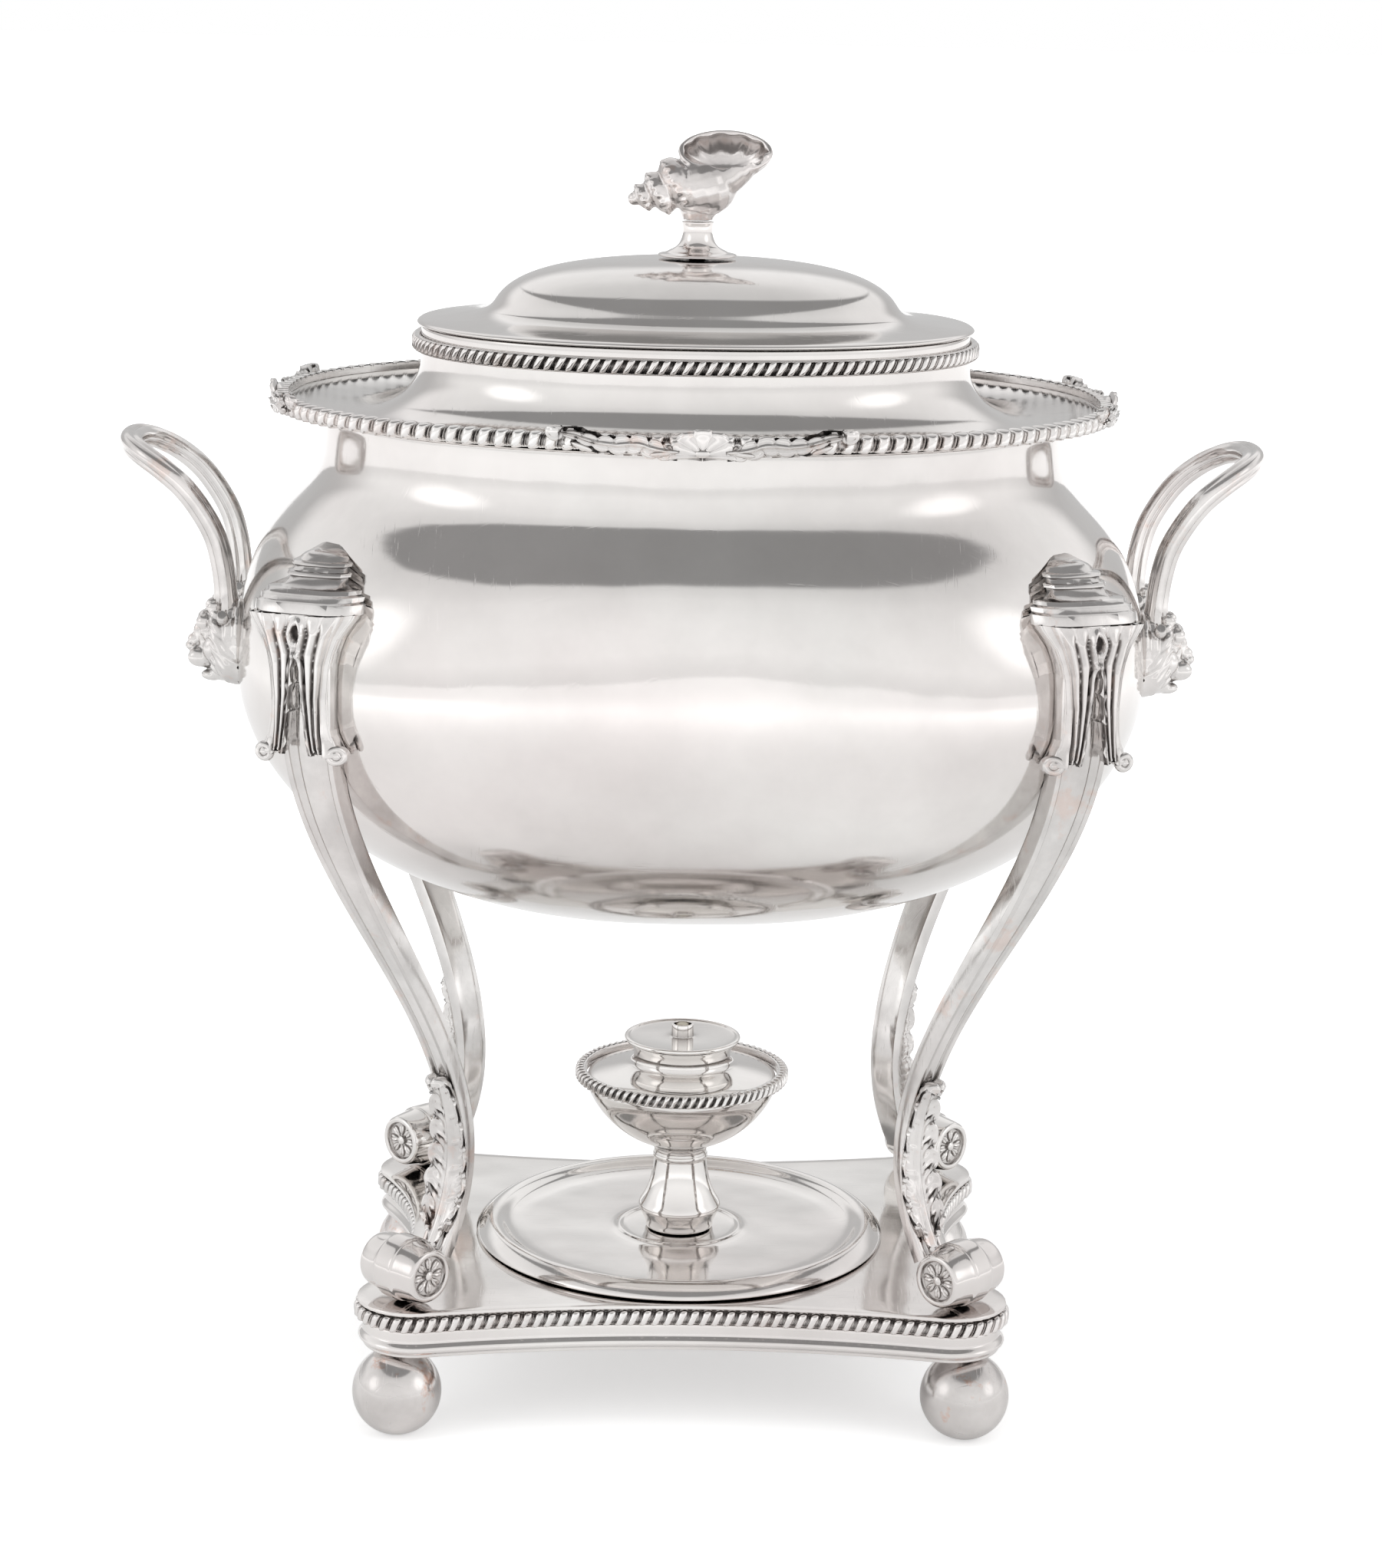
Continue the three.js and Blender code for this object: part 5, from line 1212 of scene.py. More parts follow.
heart = [(0, half - 2), (1.5, half - 1.9), (1.5, half - 0.7), (0.9, half - 0.2), (0, half - 0.1)]
flower.append(turned("heart", heart, 12))
flower = united("rosette", flower)
other = copy_of(flower)
moved(other, Matrix.Rotation(math.pi, 4, "X"))
scroll = united("scroll_foot", [drum, flower, other])
moved(scroll, Matrix.Translation((0, 0, scroll_z)) @ Matrix.Rotation(math.pi / 2, 4, "X"))
smoothed(scroll, 0, 40)
at_corners(scroll, "drum_foot", polished, "silver_plate", "scroll_foot")

# %% [markdown]
# ## Gadroon borders
# Four borders run round the urn: on the flange, the collar, the tray and the lamp. A
# gadroon is a row of fat slanted lobes with a pair of thin dark reeds between them.
# One tile, with one lobe and two reeds, is modelled and copied along the walk, over a
# half-round core. There are hundreds of lobes, so each has only a few dozen faces.

# %% Lobe tile
def lobe_tile(pitch, height, reach, slant):
    """X along the border, Y outward, Z up."""
    pieces = []
    for centre, width, out, tall, around, rings in (
        (-pitch * 0.11, pitch * 0.84, reach, height, 10, 7),
        (pitch * 0.34, pitch * 0.15, reach * 0.84, height * 0.9, 6, 5),
        (pitch * 0.475, pitch * 0.12, reach * 0.80, height * 0.88, 6, 5),
    ):
        hold()
        bpy.ops.mesh.primitive_uv_sphere_add(segments=around, ring_count=rings, radius=0.5)
        lobe = named("lobe")
        edit(lobe)
        bpy.ops.mesh.bisect(plane_co=(0, -0.08, 0), plane_no=(0, 1, 0), clear_inner=True)
        hold(lobe)
        table = points_of(lobe)
        z = table[:, 2] * tall
        swell = 1 + 0.25 * table[:, 2]
        ring = np.sqrt(np.maximum(0.25 - table[:, 2] ** 2, 1e-6))
        full = 0.5 * (1 - np.abs(2 * table[:, 2]) ** 4.5) ** (1 / 3)
        boxy, deep = table[:, 0] * full / ring, table[:, 1] * full / ring
        table = side_by_side(centre + boxy * width * swell + slant * z, 2 * deep * out, z)
        pieces.append(move_points(lobe, table))
    return united("lobe_tile", pieces)


def border_ring(name, walk, tile, core, z):
    """Copies the tile to every step of a walk and lays it on a core moulding."""
    place, outward, length = walk
    base = points_of(tile)
    faces = [list(face.vertices) for face in tile.data.polygons]
    along = side_by_side(-outward[:, 1], outward[:, 0])
    flat = place[:, None] + along[:, None] * base[None, :, :1] + outward[:, None] * base[None, :, 1:2]
    heights = np.broadcast_to(base[None, :, 2:] + z, flat.shape[:2] + (1,))
    points = np.concatenate([flat, heights], 2).reshape(-1, 3)
    count = len(base)
    all_faces = [[i * count + v for v in face] for i in range(len(place)) for face in faces]
    mesh = bpy.data.meshes.new(name)
    mesh.from_pydata(points.tolist(), [], all_faces)
    lobes = bpy.data.objects.new(name, mesh)
    scene.collection.objects.link(lobes)
    bpy.data.objects.remove(tile)
    ring = united(name, [lobes, core])
    smoothed(ring, 0, 60)
    print(name, len(place), "lobes,", round(length / len(place), 2), "mm apart")
    return ring


def core_profile(inner, outer, height, z):
    return [
        (inner, z), (inner, z - height * 0.48, 0.1), (outer - height * 0.3, z - height * 0.5),
        (outer, z - height * 0.2), (outer, z + height * 0.2), (outer - height * 0.3, z + height * 0.5),
        (inner, z + height * 0.48, 0.1),
    ]


# %% Flange, collar, tray and lamp borders
rim_z, rim_lobes = 312.85, 146
rim_walk = oblong_walk(flange_radius + 0.3, rim_lobes)
core = moulding("core", oblong_walk(flange_radius + 0.3, 192), core_profile(0, 2.5, 4.6, rim_z))
tile = lobe_tile(rim_walk[2] / rim_lobes, 5.3, 3.5, 0.22)
ring = border_ring("border_on_flange", shifted(rim_walk, 0.6), tile, core, rim_z)
done(ring, border, "urn", "cast_silver", "flange_gadroon")

collar_z, collar_lobes = 330.5, 144
collar_walk = oblong_walk(throat + 0.3, collar_lobes)
core_walk = oblong_walk(throat + 0.3, 160)
core = [moulding("core", core_walk, core_profile(0, 1.5, 4.2, collar_z))]
for z in (collar_z - 2.1, collar_z + 2.1):
    lip_profile = [(0, z - 0.35), (1.5, z - 0.3), (1.75, z), (1.5, z + 0.3), (0, z + 0.35)]
    core.append(moulding("lip", core_walk, lip_profile))
tile = lobe_tile(collar_walk[2] / collar_lobes, 4.6, 2.1, 0.55)
ring = border_ring("border_on_collar", shifted(collar_walk, 0.4), tile, united("core", core), collar_z)
done(ring, border, "urn", "cast_silver", "collar_gadroon")

tray_z, tray_lobes = 38.4, 188
tray_walk = plate_walk(tray_lobes)
core = moulding("core", shifted(plate_walk(220), -2.2), core_profile(0, 2.4, 4.6, tray_z))
tile = lobe_tile(tray_walk[2] / tray_lobes, 4.9, 2.0, 0.42)
ring = border_ring("border_on_tray", shifted(tray_walk, -1.0), tile, core, tray_z)
done(ring, border, "urn", "cast_silver", "base_gadroon")

lamp_rim_z, lamp_rim_radius, lamp_lobes = 96.3, 31.4, 76
turn = np.linspace(0, 2 * math.pi, 2000, endpoint=False)
round_line = side_by_side(lamp_rim_radius * np.cos(turn), lamp_rim_radius * np.sin(turn))
lamp_walk = even_walk(round_line, lamp_lobes)
core = moulding("core", even_walk(round_line, 96), core_profile(-0.5, 1.9, 3.6, lamp_rim_z))
tile = lobe_tile(lamp_walk[2] / lamp_lobes, 4.0, 2.0, 0.5)
ring = border_ring("border_on_lamp", shifted(lamp_walk, 0.8), tile, core, lamp_rim_z)
done(ring, border, "lamp", "cast_silver", "lamp_gadroon")

# %% [markdown]
# ## Reeded handles
# Each handle is a loop of three reeds soldered side by side, so its section is a
# clover. It rises from two masks, leans outward and closes in a flat bend. A clay
# strip is rolled round a smooth line through the loop's main points. Frames along the
# line are carried forward without twist, so the reeds run true.

# %% Loop handles
def smooth_line(points, count):
    """Points at even shares along a smooth curve through the given ones."""
    points = np.asarray(points, float)
    padded = np.vstack([2 * points[0] - points[1], points, 2 * points[-1] - points[-2]])
    at = np.linspace(0, len(points) - 1 - 1e-9, count)
    i, t = at.astype(int), (at % 1)[:, None]
    a, b, c, d = (padded[i + k] for k in range(4))
    squared, cubed = (2 * a - 5 * b + 4 * c - d) * t ** 2, (3 * b - a - 3 * c + d) * t ** 3
    return 0.5 * (2 * b + (c - a) * t + squared + cubed)


def even_line(points, count):
    line = smooth_line(points, 600)
    lengths = np.concatenate([[0], np.cumsum(np.linalg.norm(np.diff(line, axis=0), axis=1))])
    at = np.linspace(0, lengths[-1], count)
    return side_by_side(*(np.interp(at, lengths, line[:, k]) for k in range(3)))


def rolled(name, line, radius_at, columns, start_side=(1, 0, 0), caps=True):
    """A strip rolled round a line. radius_at(angle, share) gives the section."""
    rows = len(line) - 1
    ahead = np.gradient(line, axis=0)
    ahead /= np.linalg.norm(ahead, axis=1)[:, None]
    sides = [np.array(start_side, float)]
    for direction in ahead:
        side = sides[-1] - direction * np.dot(sides[-1], direction)
        sides.append(side / np.linalg.norm(side))
    sides = np.array(sides[1:])
    ups = np.cross(ahead, sides)
    item, around, along = clay_strip(name, columns, rows)
    row = np.rint(along * rows).astype(int)
    turn = around * 2 * math.pi
    radius = radius_at(turn, along)[:, None]
    turn = turn[:, None]
    table = line[row] + sides[row] * (radius * np.cos(turn)) + ups[row] * (radius * np.sin(turn))
    welded(move_points(item, table), 0.001)
    return open_ends_filled(item) if caps else item


mask_z, mask_top, handle_spread, handle_top, handle_reach = 240.3, 254.3, 25, 298.5, 172.9
wall_squareness = 2.7
width_there = float(vessel_radius(mask_top))
spread_share = handle_spread / (width_there * depth_share)
wall_at_handle = width_there * (1 - spread_share ** wall_squareness) ** (1 / wall_squareness)
handle_foot = wall_at_handle + 4.6
# outward, across and up, as shares of the loop's size
rises = [
    (0, 1, -0.12), (0, 1, 0), (0.03, 1, 0.2), (0.1, 1, 0.4), (0.235, 1, 0.58), (0.41, 0.99, 0.74),
    (0.625, 0.94, 0.866), (0.825, 0.78, 0.95), (0.96, 0.46, 0.99),
]
span, rise = handle_reach - handle_foot, handle_top - mask_top
half_loop = [
    (handle_foot + span * out, handle_spread * across, mask_top + rise * up) for out, across, up in rises
]
loop_points = [(x, -y, z) for x, y, z in half_loop] + [(handle_reach, 0, handle_top)] + half_loop[::-1]


def three_reeds(turn, share):
    reeds = np.abs(np.cos(1.5 * (turn - 0.3))) ** 0.6
    flare = 0.45 * (smooth_step(-share, -0.04, 0.0) + smooth_step(share, 0.96, 1.0))
    return (2.0 + 1.75 * reeds) * (1 + flare * 0.6)


loop = smoothed(rolled("reeded_loop", even_line(loop_points, 120), three_reeds, 36), 1, 50)
for side, turn in (("right", 0), ("left", math.pi)):
    part, here = copy_of(loop, f"loop_{side}"), Matrix.Rotation(turn, 4, "Z")
    done(part, cast, "urn", "silver_plate", f"handle_{side}", place_matrix=here)
bpy.data.objects.remove(loop)

# %% [markdown]
# ## Lion masks
# Where each end of a handle meets the vessel a small lion's head covers the joint. A
# head is soft and lumpy, so it isn't cut from a block: it is built up from balls of
# clay for brow, nose, muzzle, cheeks and chin. The mane is a set of wavy locks, rolled
# strips that flow from the face back and down to the wall. The Remesh modifier welds
# all of it into one skin, and the eyes and nostrils are pressed in afterwards.

# %% Lion mask
def clay_ball(centre, radii, lean=0.0):
    hold()
    bpy.ops.mesh.primitive_uv_sphere_add(segments=16, ring_count=12, radius=1)
    ball = bpy.context.active_object
    place = Matrix.Translation(centre) @ Matrix.Rotation(lean, 4, "Y") @ Matrix.Diagonal((*radii, 1))
    return moved(ball, place)


lumps = [
    ((-1, 0, 0), (3.2, 11.2, 13.0)), ((0.8, 0, -0.6), (5.6, 10.2, 12.4)),
    ((5.0, 0, 1.2), (6.6, 5.6, 9.4)), ((8.6, 0, -4.6), (6.0, 4.3, 4.0)),
    ((8.4, 0, 6.8), (3.4, 3.9, 3.0)), ((10.6, 0, 2.0), (2.6, 1.7, 4.2)), ((12.8, 0, 0.0), (2.1, 1.6, 2.2)),
    ((13.7, 0, -1.7), (1.9, 2.1, 1.5)), ((7.0, 0, -10.7), (3.9, 3.1, 1.9)), ((4.0, 0, -9.6), (4.4, 4.8, 2.9)),
]
for side in (-1, 1):
    lumps += [
        ((9.4, side * 2.5, 6.0), (2.6, 2.4, 2.5)), ((9.2, side * 2.9, 3.0), (1.7, 1.4, 1.1)),
        ((6.4, side * 4.6, -1.8), (3.4, 2.6, 4.2)), ((10.8, side * 2.1, -5.0), (3.9, 2.5, 3.0)),
        ((3.4, side * 8.0, 8.4), (1.9, 1.8, 2.2)),
    ]
head = [clay_ball(*lump) for lump in lumps]
# each lock: outward, across, how far it has fallen, and which way it waves
lock_steps = (
    (7.0, 5.0, 0, 0), (5.6, 6.9, 0.15, 1), (3.4, 8.4, 0.5, -0.6), (1.0, 9.6, 0.8, 0.6), (-1.4, 10.0, 1, 0),
)
for side in (-1, 1):
    for i in range(13):
        t = math.radians(8 + 12.2 * i)
        wave, drop, start = 0.55 * (-1) ** i, 2.4 + 6.0 * math.sin(t), 0.8 + 9.4 * math.cos(t)
        lock = even_line([
            (x, side * (y * math.sin(t) + 0.5), max(start - drop * fall + wave * swing, -12.5))
            for x, y, fall, swing in lock_steps
        ], 24)
        head.append(rolled("lock", lock, lambda turn, share: 1.3 - 0.35 * share ** 2, 10, (0.2, 0, 1)))
for y, x, z in ((-3.4, 6.4, 10.4), (-1.1, 7.2, 11.0), (1.1, 7.2, 11.0), (3.4, 6.4, 10.4)):
    head.append(clay_ball((x, y, z), (2.1, 1.15, 2.0), lean=0.5))
mask = united("lion", head)
applied(mask, "REMESH", mode="VOXEL", voxel_size=0.33)
applied(mask, "SMOOTH", factor=0.5, iterations=2)
table = points_of(mask)


def pressed(centre, width, height, depth):
    """Presses a dent along X where the points are near a centre."""
    near = (table[:, 1] - centre[1]) ** 2 / width ** 2 + (table[:, 2] - centre[2]) ** 2 / height ** 2
    table[:, 0] -= depth * np.exp(-near * 1.4) * (table[:, 0] > centre[0])


for side in (-1, 1):
    pressed((8, side * 2.9, 3.0), 0.5, 0.45, 0.7)
    pressed((12, side * 0.95, -1.9), 0.5, 0.5, 1.0)
    pressed((8, side * 3.4, 0.2), 1.0, 1.6, 0.9)
pressed((9, 0, -4.6), 0.3, 1.8, 0.9)
mask_half_width, mask_half_height = 11.9, 13.95
limit = np.hypot(table[:, 1] / mask_half_width, table[:, 2] / mask_half_height)
table[:, 1:] /= np.maximum(limit, 1)[:, None]
move_points(mask, table)
applied(mask, "SMOOTH", factor=0.4, iterations=1)
smoothed(mask, 0, 80)
print("lion", table.min(0).round(1), table.max(0).round(1))


def side_wall(y, z):
    radius, power = vessel_radius(z), squareness_at(z)
    return radius * (1 - np.abs(y / (radius * depth_share)) ** power) ** (1 / power)


reach = float(side_wall(handle_spread, mask_z))
for side, turn in (("right", 0), ("left", math.pi)):
    for end, y in (("front", -1), ("back", 1)):
        part = copy_of(mask, f"lion_{side}_{end}")
        out = reach * math.cos(turn)
        moved(part, Matrix.Translation((out, y * handle_spread, mask_z)) @ Matrix.Rotation(turn, 4, "Z"))
        table = points_of(part)
        skin = side_wall(np.clip(table[:, 1], -60, 60), table[:, 2]) - 0.5
        table[:, 0] = np.sign(math.cos(turn)) * np.maximum(np.abs(table[:, 0]), skin)
        move_points(part, table)
        done(part, cast, "urn", "cast_silver", f"lion_mask_{side}_{end}")
bpy.data.objects.remove(mask)

# %% [markdown]
# ## Shell and scroll groups on the rim
# In the middle of each side a cast group covers the border: a low ribbed shell, and
# on either hand a long leaf that rises to a round button. The shell is a half dome
# whose points are lifted into ribs like a fan. The leaf is a strip with notched edges,
# like the ones on the legs, laid along a rising line. The group is modelled flat, with
# X along the rim, Y outward and Z up, and then bent round the rim by its plan.

# %% One flat group
fan, u, v = clay_strip("fan", 90, 14)
angle, share = (u - 0.5) * math.radians(196), v
ribs = np.abs(np.cos(angle * 5.2)) ** 0.7
across = 9.6 * share * np.sin(angle) * (1 + 0.05 * ribs * share)
up = -3.6 + 7.6 * share * np.cos(angle) * (1 + 0.08 * ribs * share)
out = 3.0 + 2.0 * np.sqrt(np.clip(1 - share ** 2.4, 0, 1))
out += 0.75 * ribs * share ** 0.6 * (1 - 0.25 * share) + 0.5 * hump(share - 0.9, 0.08)
move_points(fan, side_by_side(across, out, up))
applied(fan, "SOLIDIFY", thickness=1.8, offset=1)
parts = [fan, clay_ball((0, 4.2, -3.0), (2.6, 1.8, 1.3)), clay_ball((0, 1.8, -0.4), (8.2, 2.2, 3.6))]
sprig_line = even_line([
    (6.5, 0, -2.6), (12, 0, -2.2), (18, 0, -0.6), (24, 0, -0.9), (30, 0, -0.2), (35, 0, 1.3), (39.5, 0, 2.2),
], 241)
button = [(0, -1), (2.5, -1), (2.7, 0.6), (2.3, 1.3), (1.7, 1.2), (1.4, 1.7), (0, 2.1)]
for side in (-1, 1):
    sprig, u, v = clay_strip("sprig", 24, 120)
    edge, reach = 2 * u - 1, np.abs(2 * u - 1)
    row = np.rint(v * (len(sprig_line) - 1)).astype(int)
    line, ahead = sprig_line[row], np.gradient(sprig_line, axis=0)[row]
    ahead /= np.linalg.norm(ahead, axis=1)[:, None]
    phase = (7 * v + 0.25 * (edge > 0)) % 1
    notched = 0.62 + 0.38 * np.abs(np.sin(math.pi * phase)) ** 0.6
    width = np.interp(v, (0, 0.1, 0.45, 0.8, 1), (2.0, 3.1, 3.0, 1.9, 0.9)) * notched
    along = 1.3 * reach ** 1.5 * (1 - v)
    lift = 4.5 + 0.9 * hump(reach, 0.22) - 0.7 * hump(np.minimum(phase, 1 - phase), 0.13) * reach
    lift += 0.5 * hump(reach - 0.86, 0.14) - 0.9 * reach ** 4
    x = side * (line[:, 0] + ahead[:, 0] * along - ahead[:, 2] * edge * width)
    z = line[:, 2] + ahead[:, 2] * along + ahead[:, 0] * edge * width
    move_points(sprig, side_by_side(x, lift, z))
    applied(sprig, "SOLIDIFY", thickness=3.6, offset=1 if side < 0 else -1)
    parts.append(sprig)
    place = Matrix.Translation((side * 41.2, 3.2, 2.3)) @ Matrix.Rotation(-math.pi / 2, 4, "X")
    parts.append(moved(turned("button", button, 20), place))
    parts.append(clay_ball((side * 11.5, 4.0, -3.2), (3.4, 1.3, 0.9), lean=0.12 * side))
    parts.append(clay_ball((side * 33.5, 3.8, -1.7), (3.2, 1.2, 0.9), lean=-0.35 * side))
group = smoothed(facing_out(united("shell_and_scrolls", parts)), 0, 80)
print("the flat group has", len(group.data.polygons), "faces")

# %% Bend it round the rim
flat = points_of(group).copy()
lowest, highest = flat[:, 2].min(), flat[:, 2].max()
print("group from", round(lowest, 1), "to", round(highest, 1), "mm high")
rim_steps, lean = 4000, math.radians(24)
place, outward, length = oblong_walk(flange_radius + 0.9, rim_steps)
turns = np.arctan2(place[:, 1], place[:, 0])
out = flat[:, 1] * math.cos(lean) + flat[:, 2] * math.sin(lean) * 0.3
out = np.clip(out, -1, 5.7)[:, None]
up = np.clip(flat[:, 2] * 0.98 + flat[:, 1] * 0.15, -4.5, 4.6)
for name, middle in (("front", -90), ("back", 90), ("right", 0), ("left", 180)):
    offset = np.abs((turns - math.radians(middle) + math.pi) % (2 * math.pi) - math.pi)
    step = length / rim_steps
    row = (int(offset.argmin()) + np.rint(flat[:, 0] / step).astype(int)) % rim_steps
    part = copy_of(group, f"group_{name}")
    move_points(part, np.column_stack([place[row] + outward[row] * out, rim_z + up]))
    done(part, cast, "urn", "cast_silver", f"rim_ornament_{name}")
bpy.data.objects.remove(group)

# %% [markdown]
# ## Shell finial
# A conch lies on the stem with its spire to the left. It is built from clay balls
# along a rising axis: flattened ones for the whorls, small beads round them, a big one
# for the body and a long one for the lip's end at the right. The mouth is a half bowl
# that opens up and to the front. The Boolean modifier cuts its fluted hollow, and the
# Remesh modifier welds all of it into one skin.

# %% Conch
shell_seat, tall = 368.1, 0.955
rise = math.radians(30)
pieces = []
# x, z, radius, thickness and number of beads
whorls = (
    (-19.4, 6.2, 2.2, 2.2, 0), (-16.4, 6.9, 4.4, 2.9, 11),
    (-11.6, 8.3, 7.3, 4.1, 16), (-5.8, 11.0, 9.3, 5.6, 18),
)
for x, z, long, thick, beads in whorls:
    whorl = clay_ball((0, 0, 0), (thick, long * 0.92, long))
    place_here = Matrix.Translation((x, 0, z)) @ Matrix.Rotation(-rise, 4, "Y")
    pieces.append(moved(whorl, place_here))
    for i in range(beads):
        angle = 2 * math.pi * i / beads
        spot = (-0.2 * thick, 0.86 * long * math.sin(angle), 0.94 * long * math.cos(angle))
        pieces.append(moved(clay_ball(spot, (0.95, 0.85, 0.85)), place_here))
pieces.append(clay_ball((1.6, 0, 10.4), (10.6, 9.2, 9.6), lean=-0.3))
pieces.append(clay_ball((9.0, -1.0, 13.4), (12.6, 6.2, 5.2), lean=-0.72))
pieces.append(clay_ball((17.8, -1.5, 18.8), (4.6, 2.6, 2.5), lean=-0.5))
pieces.append(turned("foot", [(0, -0.2), (4.6, -0.2), (5.4, 2), (6, 6), (0, 6)], 32))
mouth_place = Matrix.Translation((8.0, -0.6, 21.4)) @ Matrix.Rotation(math.radians(50), 4, "X")
bowl_outside = clay_ball((0, 0, 0), (14.2, 8.6, 10.5))
edit(bowl_outside)
bpy.ops.mesh.bisect(plane_co=(0, 0, 0), plane_no=(0, 0, 1), clear_outer=True, use_fill=True)
hold(bowl_outside)
pieces.append(moved(bowl_outside, mouth_place))
hold()
bpy.ops.mesh.primitive_torus_add(major_radius=1, minor_radius=0.075, major_segments=64, minor_segments=12)
lip = named("lip")
pieces.append(moved(lip, mouth_place @ Matrix.Diagonal((13.5, 7.9, 11, 1))))
body = united("conch_body", pieces)
applied(body, "REMESH", mode="VOXEL", voxel_size=0.4)
hold()
bpy.ops.mesh.primitive_uv_sphere_add(segments=72, ring_count=36, radius=1)
hollow = named("hollow")
table = points_of(hollow)
turn = np.arctan2(table[:, 1], table[:, 0])
flutes = 1 + 0.03 * np.cos(11 * turn) * np.hypot(table[:, 0], table[:, 1]) ** 2
move_points(hollow, table * side_by_side(12.6 * flutes, 7.0 * flutes, 8.6 * flutes))
moved(hollow, mouth_place)
applied(body, "BOOLEAN", operation="DIFFERENCE", object=hollow)
bpy.data.objects.remove(hollow)
applied(body, "REMESH", mode="VOXEL", voxel_size=0.36)
applied(body, "SMOOTH", factor=0.5, iterations=3)
conch = named("conch")
table = points_of(conch)
table[:, 2] = shell_seat + np.maximum(table[:, 2], 0) * tall
print("conch", table.min(0).round(1), table.max(0).round(1))
move_points(conch, table)
done(smoothed(conch, 0, 60), cast, "lid", "cast_silver", "shell_finial")

# %% [markdown]
# ## Tap
# The photograph doesn't show the back, but an urn has to pour. A common tap of the
# time: a rosette on the wall, a pipe, a tapered barrel with a plug that turns through
# a quarter circle, and a bent spout. The lever is a flat leaf-shaped bar.

# %% Tap body
tap_z, barrel_y = 196, 129.416
tap_wall = barrel_y - 30


def along_y(name, profile):
    """A turned piece that points along Y from the wall."""
    place = Matrix.Translation((0, tap_wall, tap_z)) @ Matrix.Rotation(-math.pi / 2, 4, "X")
    return moved(turned(name, profile, 32), place)


rosette = smoothed(along_y("rosette_and_pipe", [
    (0, -1.8), (12, -1.8), (12, 0.4), (11.9, 1.6), (10.6, 2.6, 0.3), (9.0, 2.4), (7.6, 3.4), (6.4, 4.6, 0.3),
    (5.6, 5.4), (5.3, 8), (5.0, 14), (5.2, 21), (5.7, 24, 0.3), (5.0, 26), (0, 26),
]), 2, 60)
table = points_of(rosette)
turn = np.arctan2(table[:, 2] - tap_z, table[:, 0])
radius = np.hypot(table[:, 2] - tap_z, table[:, 0])
petals = 1 - 0.05 * (1 - np.abs(np.cos(5 * turn))) * smooth_step(radius, 7.5, 10.5)
table[:, 0] *= petals
table[:, 2] = tap_z + (table[:, 2] - tap_z) * petals
width_there = vessel_radius(table[:, 2])
beside = np.abs(table[:, 0] / width_there) ** belly_squareness
skin = width_there * depth_share * (1 - beside) ** (1 / belly_squareness)
table[:, 1] = np.where(radius > 5.2, np.maximum(table[:, 1], skin - 0.4), table[:, 1])
move_points(rosette, table)
barrel = smoothed(turned("barrel", [
    (4.75, -12, 0.1), (6.4, -12, 0.3), (8.0, -10.6), (8.2, -9.2), (7.5, -8.2, 0.2), (7.4, -4), (7.4, 5),
    (7.5, 8.2, 0.2), (8.4, 9.4), (9.2, 10.6), (9.1, 12, 0.3), (5.6, 12, 0.1), (4.75, -12, 0.1),
], 32), 1, 50)
moved(barrel, Matrix.Translation((0, barrel_y, tap_z)))
nipple = smoothed(along_y("nipple", [
    (2.4, -9.4, 0.1), (4.6, -9.4, 0.3), (4.7, -8.6), (4.7, 3, 0.1), (2.4, 3, 0.1), (2.4, -9.4),
]), 1, 50)
spout_bends = ((6, 0), (10, 0), (15.5, 1.2), (19.8, 6), (21.4, 13), (21.8, 20), (22, 25.4))
spout_line = even_line([(0, barrel_y + out, tap_z - drop) for out, drop in spout_bends], 60)


def spout_radius(turn, share):
    return 4.4 + 0.5 * (smooth_step(share, 0.88, 0.93) - smooth_step(share, 0.96, 1.0))


spout = rolled("spout", spout_line, spout_radius, 28, caps=False)
applied(spout, "SOLIDIFY", thickness=1.3, offset=-1)
smoothed(spout, 1, 50)
tap = united("tap_and_spout", [rosette, barrel, nipple, spout])
done(tap, polished, "urn", "silver_plate", "tap_body")

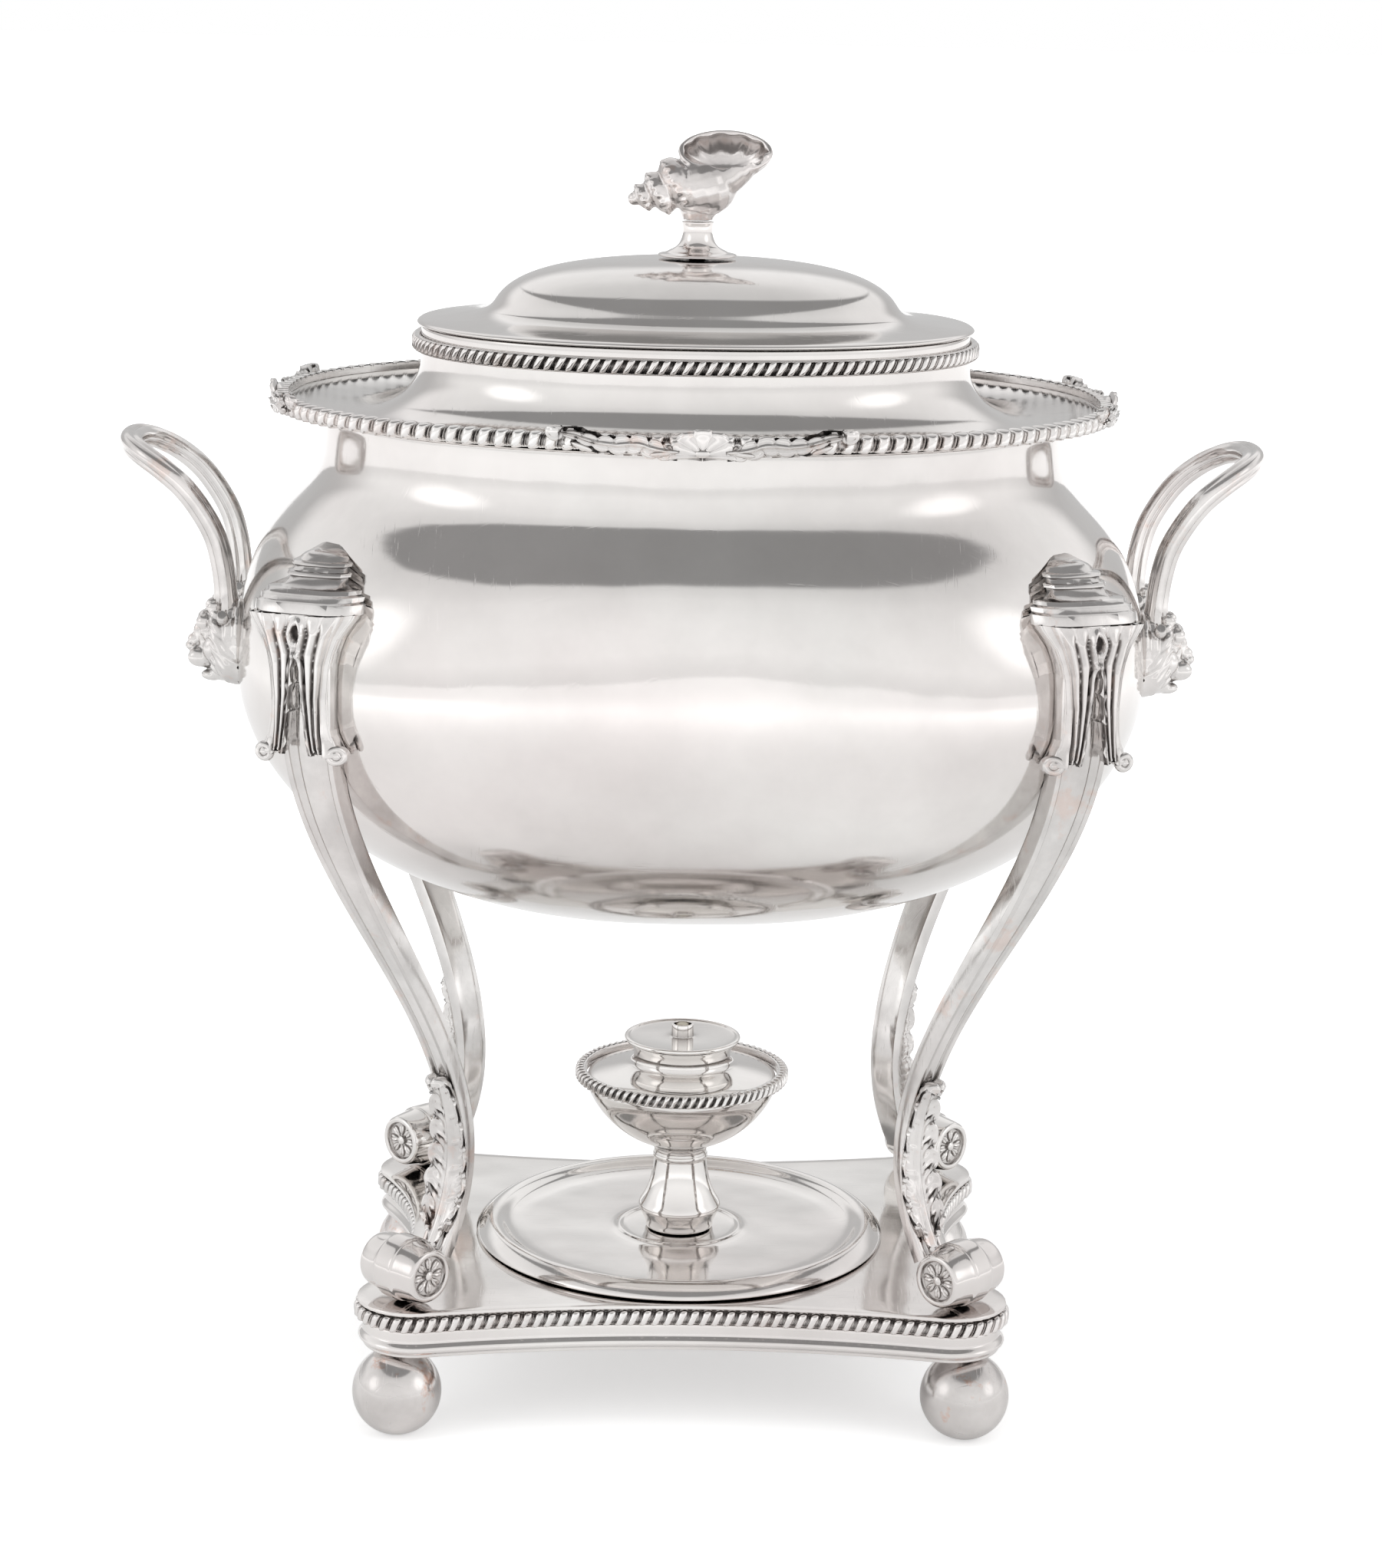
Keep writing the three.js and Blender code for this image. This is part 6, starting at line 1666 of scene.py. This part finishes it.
# %% Tap key
key_profile = [
    (0, -17), (1.8, -16.9), (2.0, -16.4), (2.0, -11.9, 0.1), (4.4, -11.7, 0.2), (5.15, 12.3, 0.3),
    (3.6, 13.2), (2.7, 14.6), (2.4, 17), (2.8, 19.4, 0.3), (3.5, 20.4), (2.6, 22.0), (0, 22.2),
]
plug = smoothed(turned("plug", key_profile, 28), 1, 50)
lever, u, v = clay_strip("lever", 24, 40)
turn, share = u * 2 * math.pi, 2 * v - 1
lever_half, lever_z = 14.9, 23.0
rounded = np.sqrt(np.maximum(1 - np.abs(share) ** 6, 0))
broad = (2.2 + 1.9 * np.abs(share) ** 1.5) * rounded * (1 - 0.25 * hump(np.abs(share) - 0.42, 0.16))
thick = (1.9 + 0.6 * hump(share, 0.3)) * rounded
move_points(lever, side_by_side(lever_half * share, broad * np.cos(turn), lever_z + thick * np.sin(turn)))
smoothed(welded(lever), 1, 70)
key = united("key_with_lever", [plug, lever])
moved(key, Matrix.Translation((0, barrel_y, tap_z)))
done(key, polished, "tap_key", "silver_plate", "tap_key")

# %% [markdown]
# The three brass nuts are hexagons with a bore and chamfered corners: a six-sided
# cylinder, its ends inset, the middle bridged through, and the edges bevelled.

# %% Nuts
def hex_nut(name, radius, height, hole, matrix):
    hold()
    bpy.ops.mesh.primitive_cylinder_add(vertices=6, radius=radius, depth=height)
    nut = named(name)
    edit(nut, "FACE", "DESELECT")
    hold(nut)
    for face in nut.data.polygons:
        face.select = abs(face.normal.z) > 0.5
    bpy.ops.object.mode_set(mode="EDIT")
    bpy.ops.mesh.inset(thickness=radius * math.cos(math.pi / 6) - hole)
    bpy.ops.mesh.bridge_edge_loops()
    hold(nut)
    applied(nut, "BEVEL", width=0.35, segments=2, limit_method="ANGLE", angle_limit=math.radians(40))
    smoothed(nut, 0, 35)
    return moved(nut, matrix)


key_nut = hex_nut("nut_under_key", 5.3, 2.5, 2.3, Matrix.Translation((0, barrel_y, tap_z - 13.6)))
done(key_nut, brass, "tap_key", "brass_nut", "tap_key_nut")
behind_wall = Matrix.Translation((0, tap_wall - 4.6, tap_z)) @ Matrix.Rotation(math.pi / 2, 4, "X")
back_nut = hex_nut("nut_inside_wall", 8.9, 4.4, 5.3, behind_wall)
done(back_nut, brass, "urn", "brass_nut", "tap_back_nut")
lid_nut = hex_nut("nut_under_lid", 4.5, 2.9, 2.5, Matrix.Translation((0, 0, 353.6)))
done(lid_nut, brass, "lid", "brass_nut", "finial_nut")
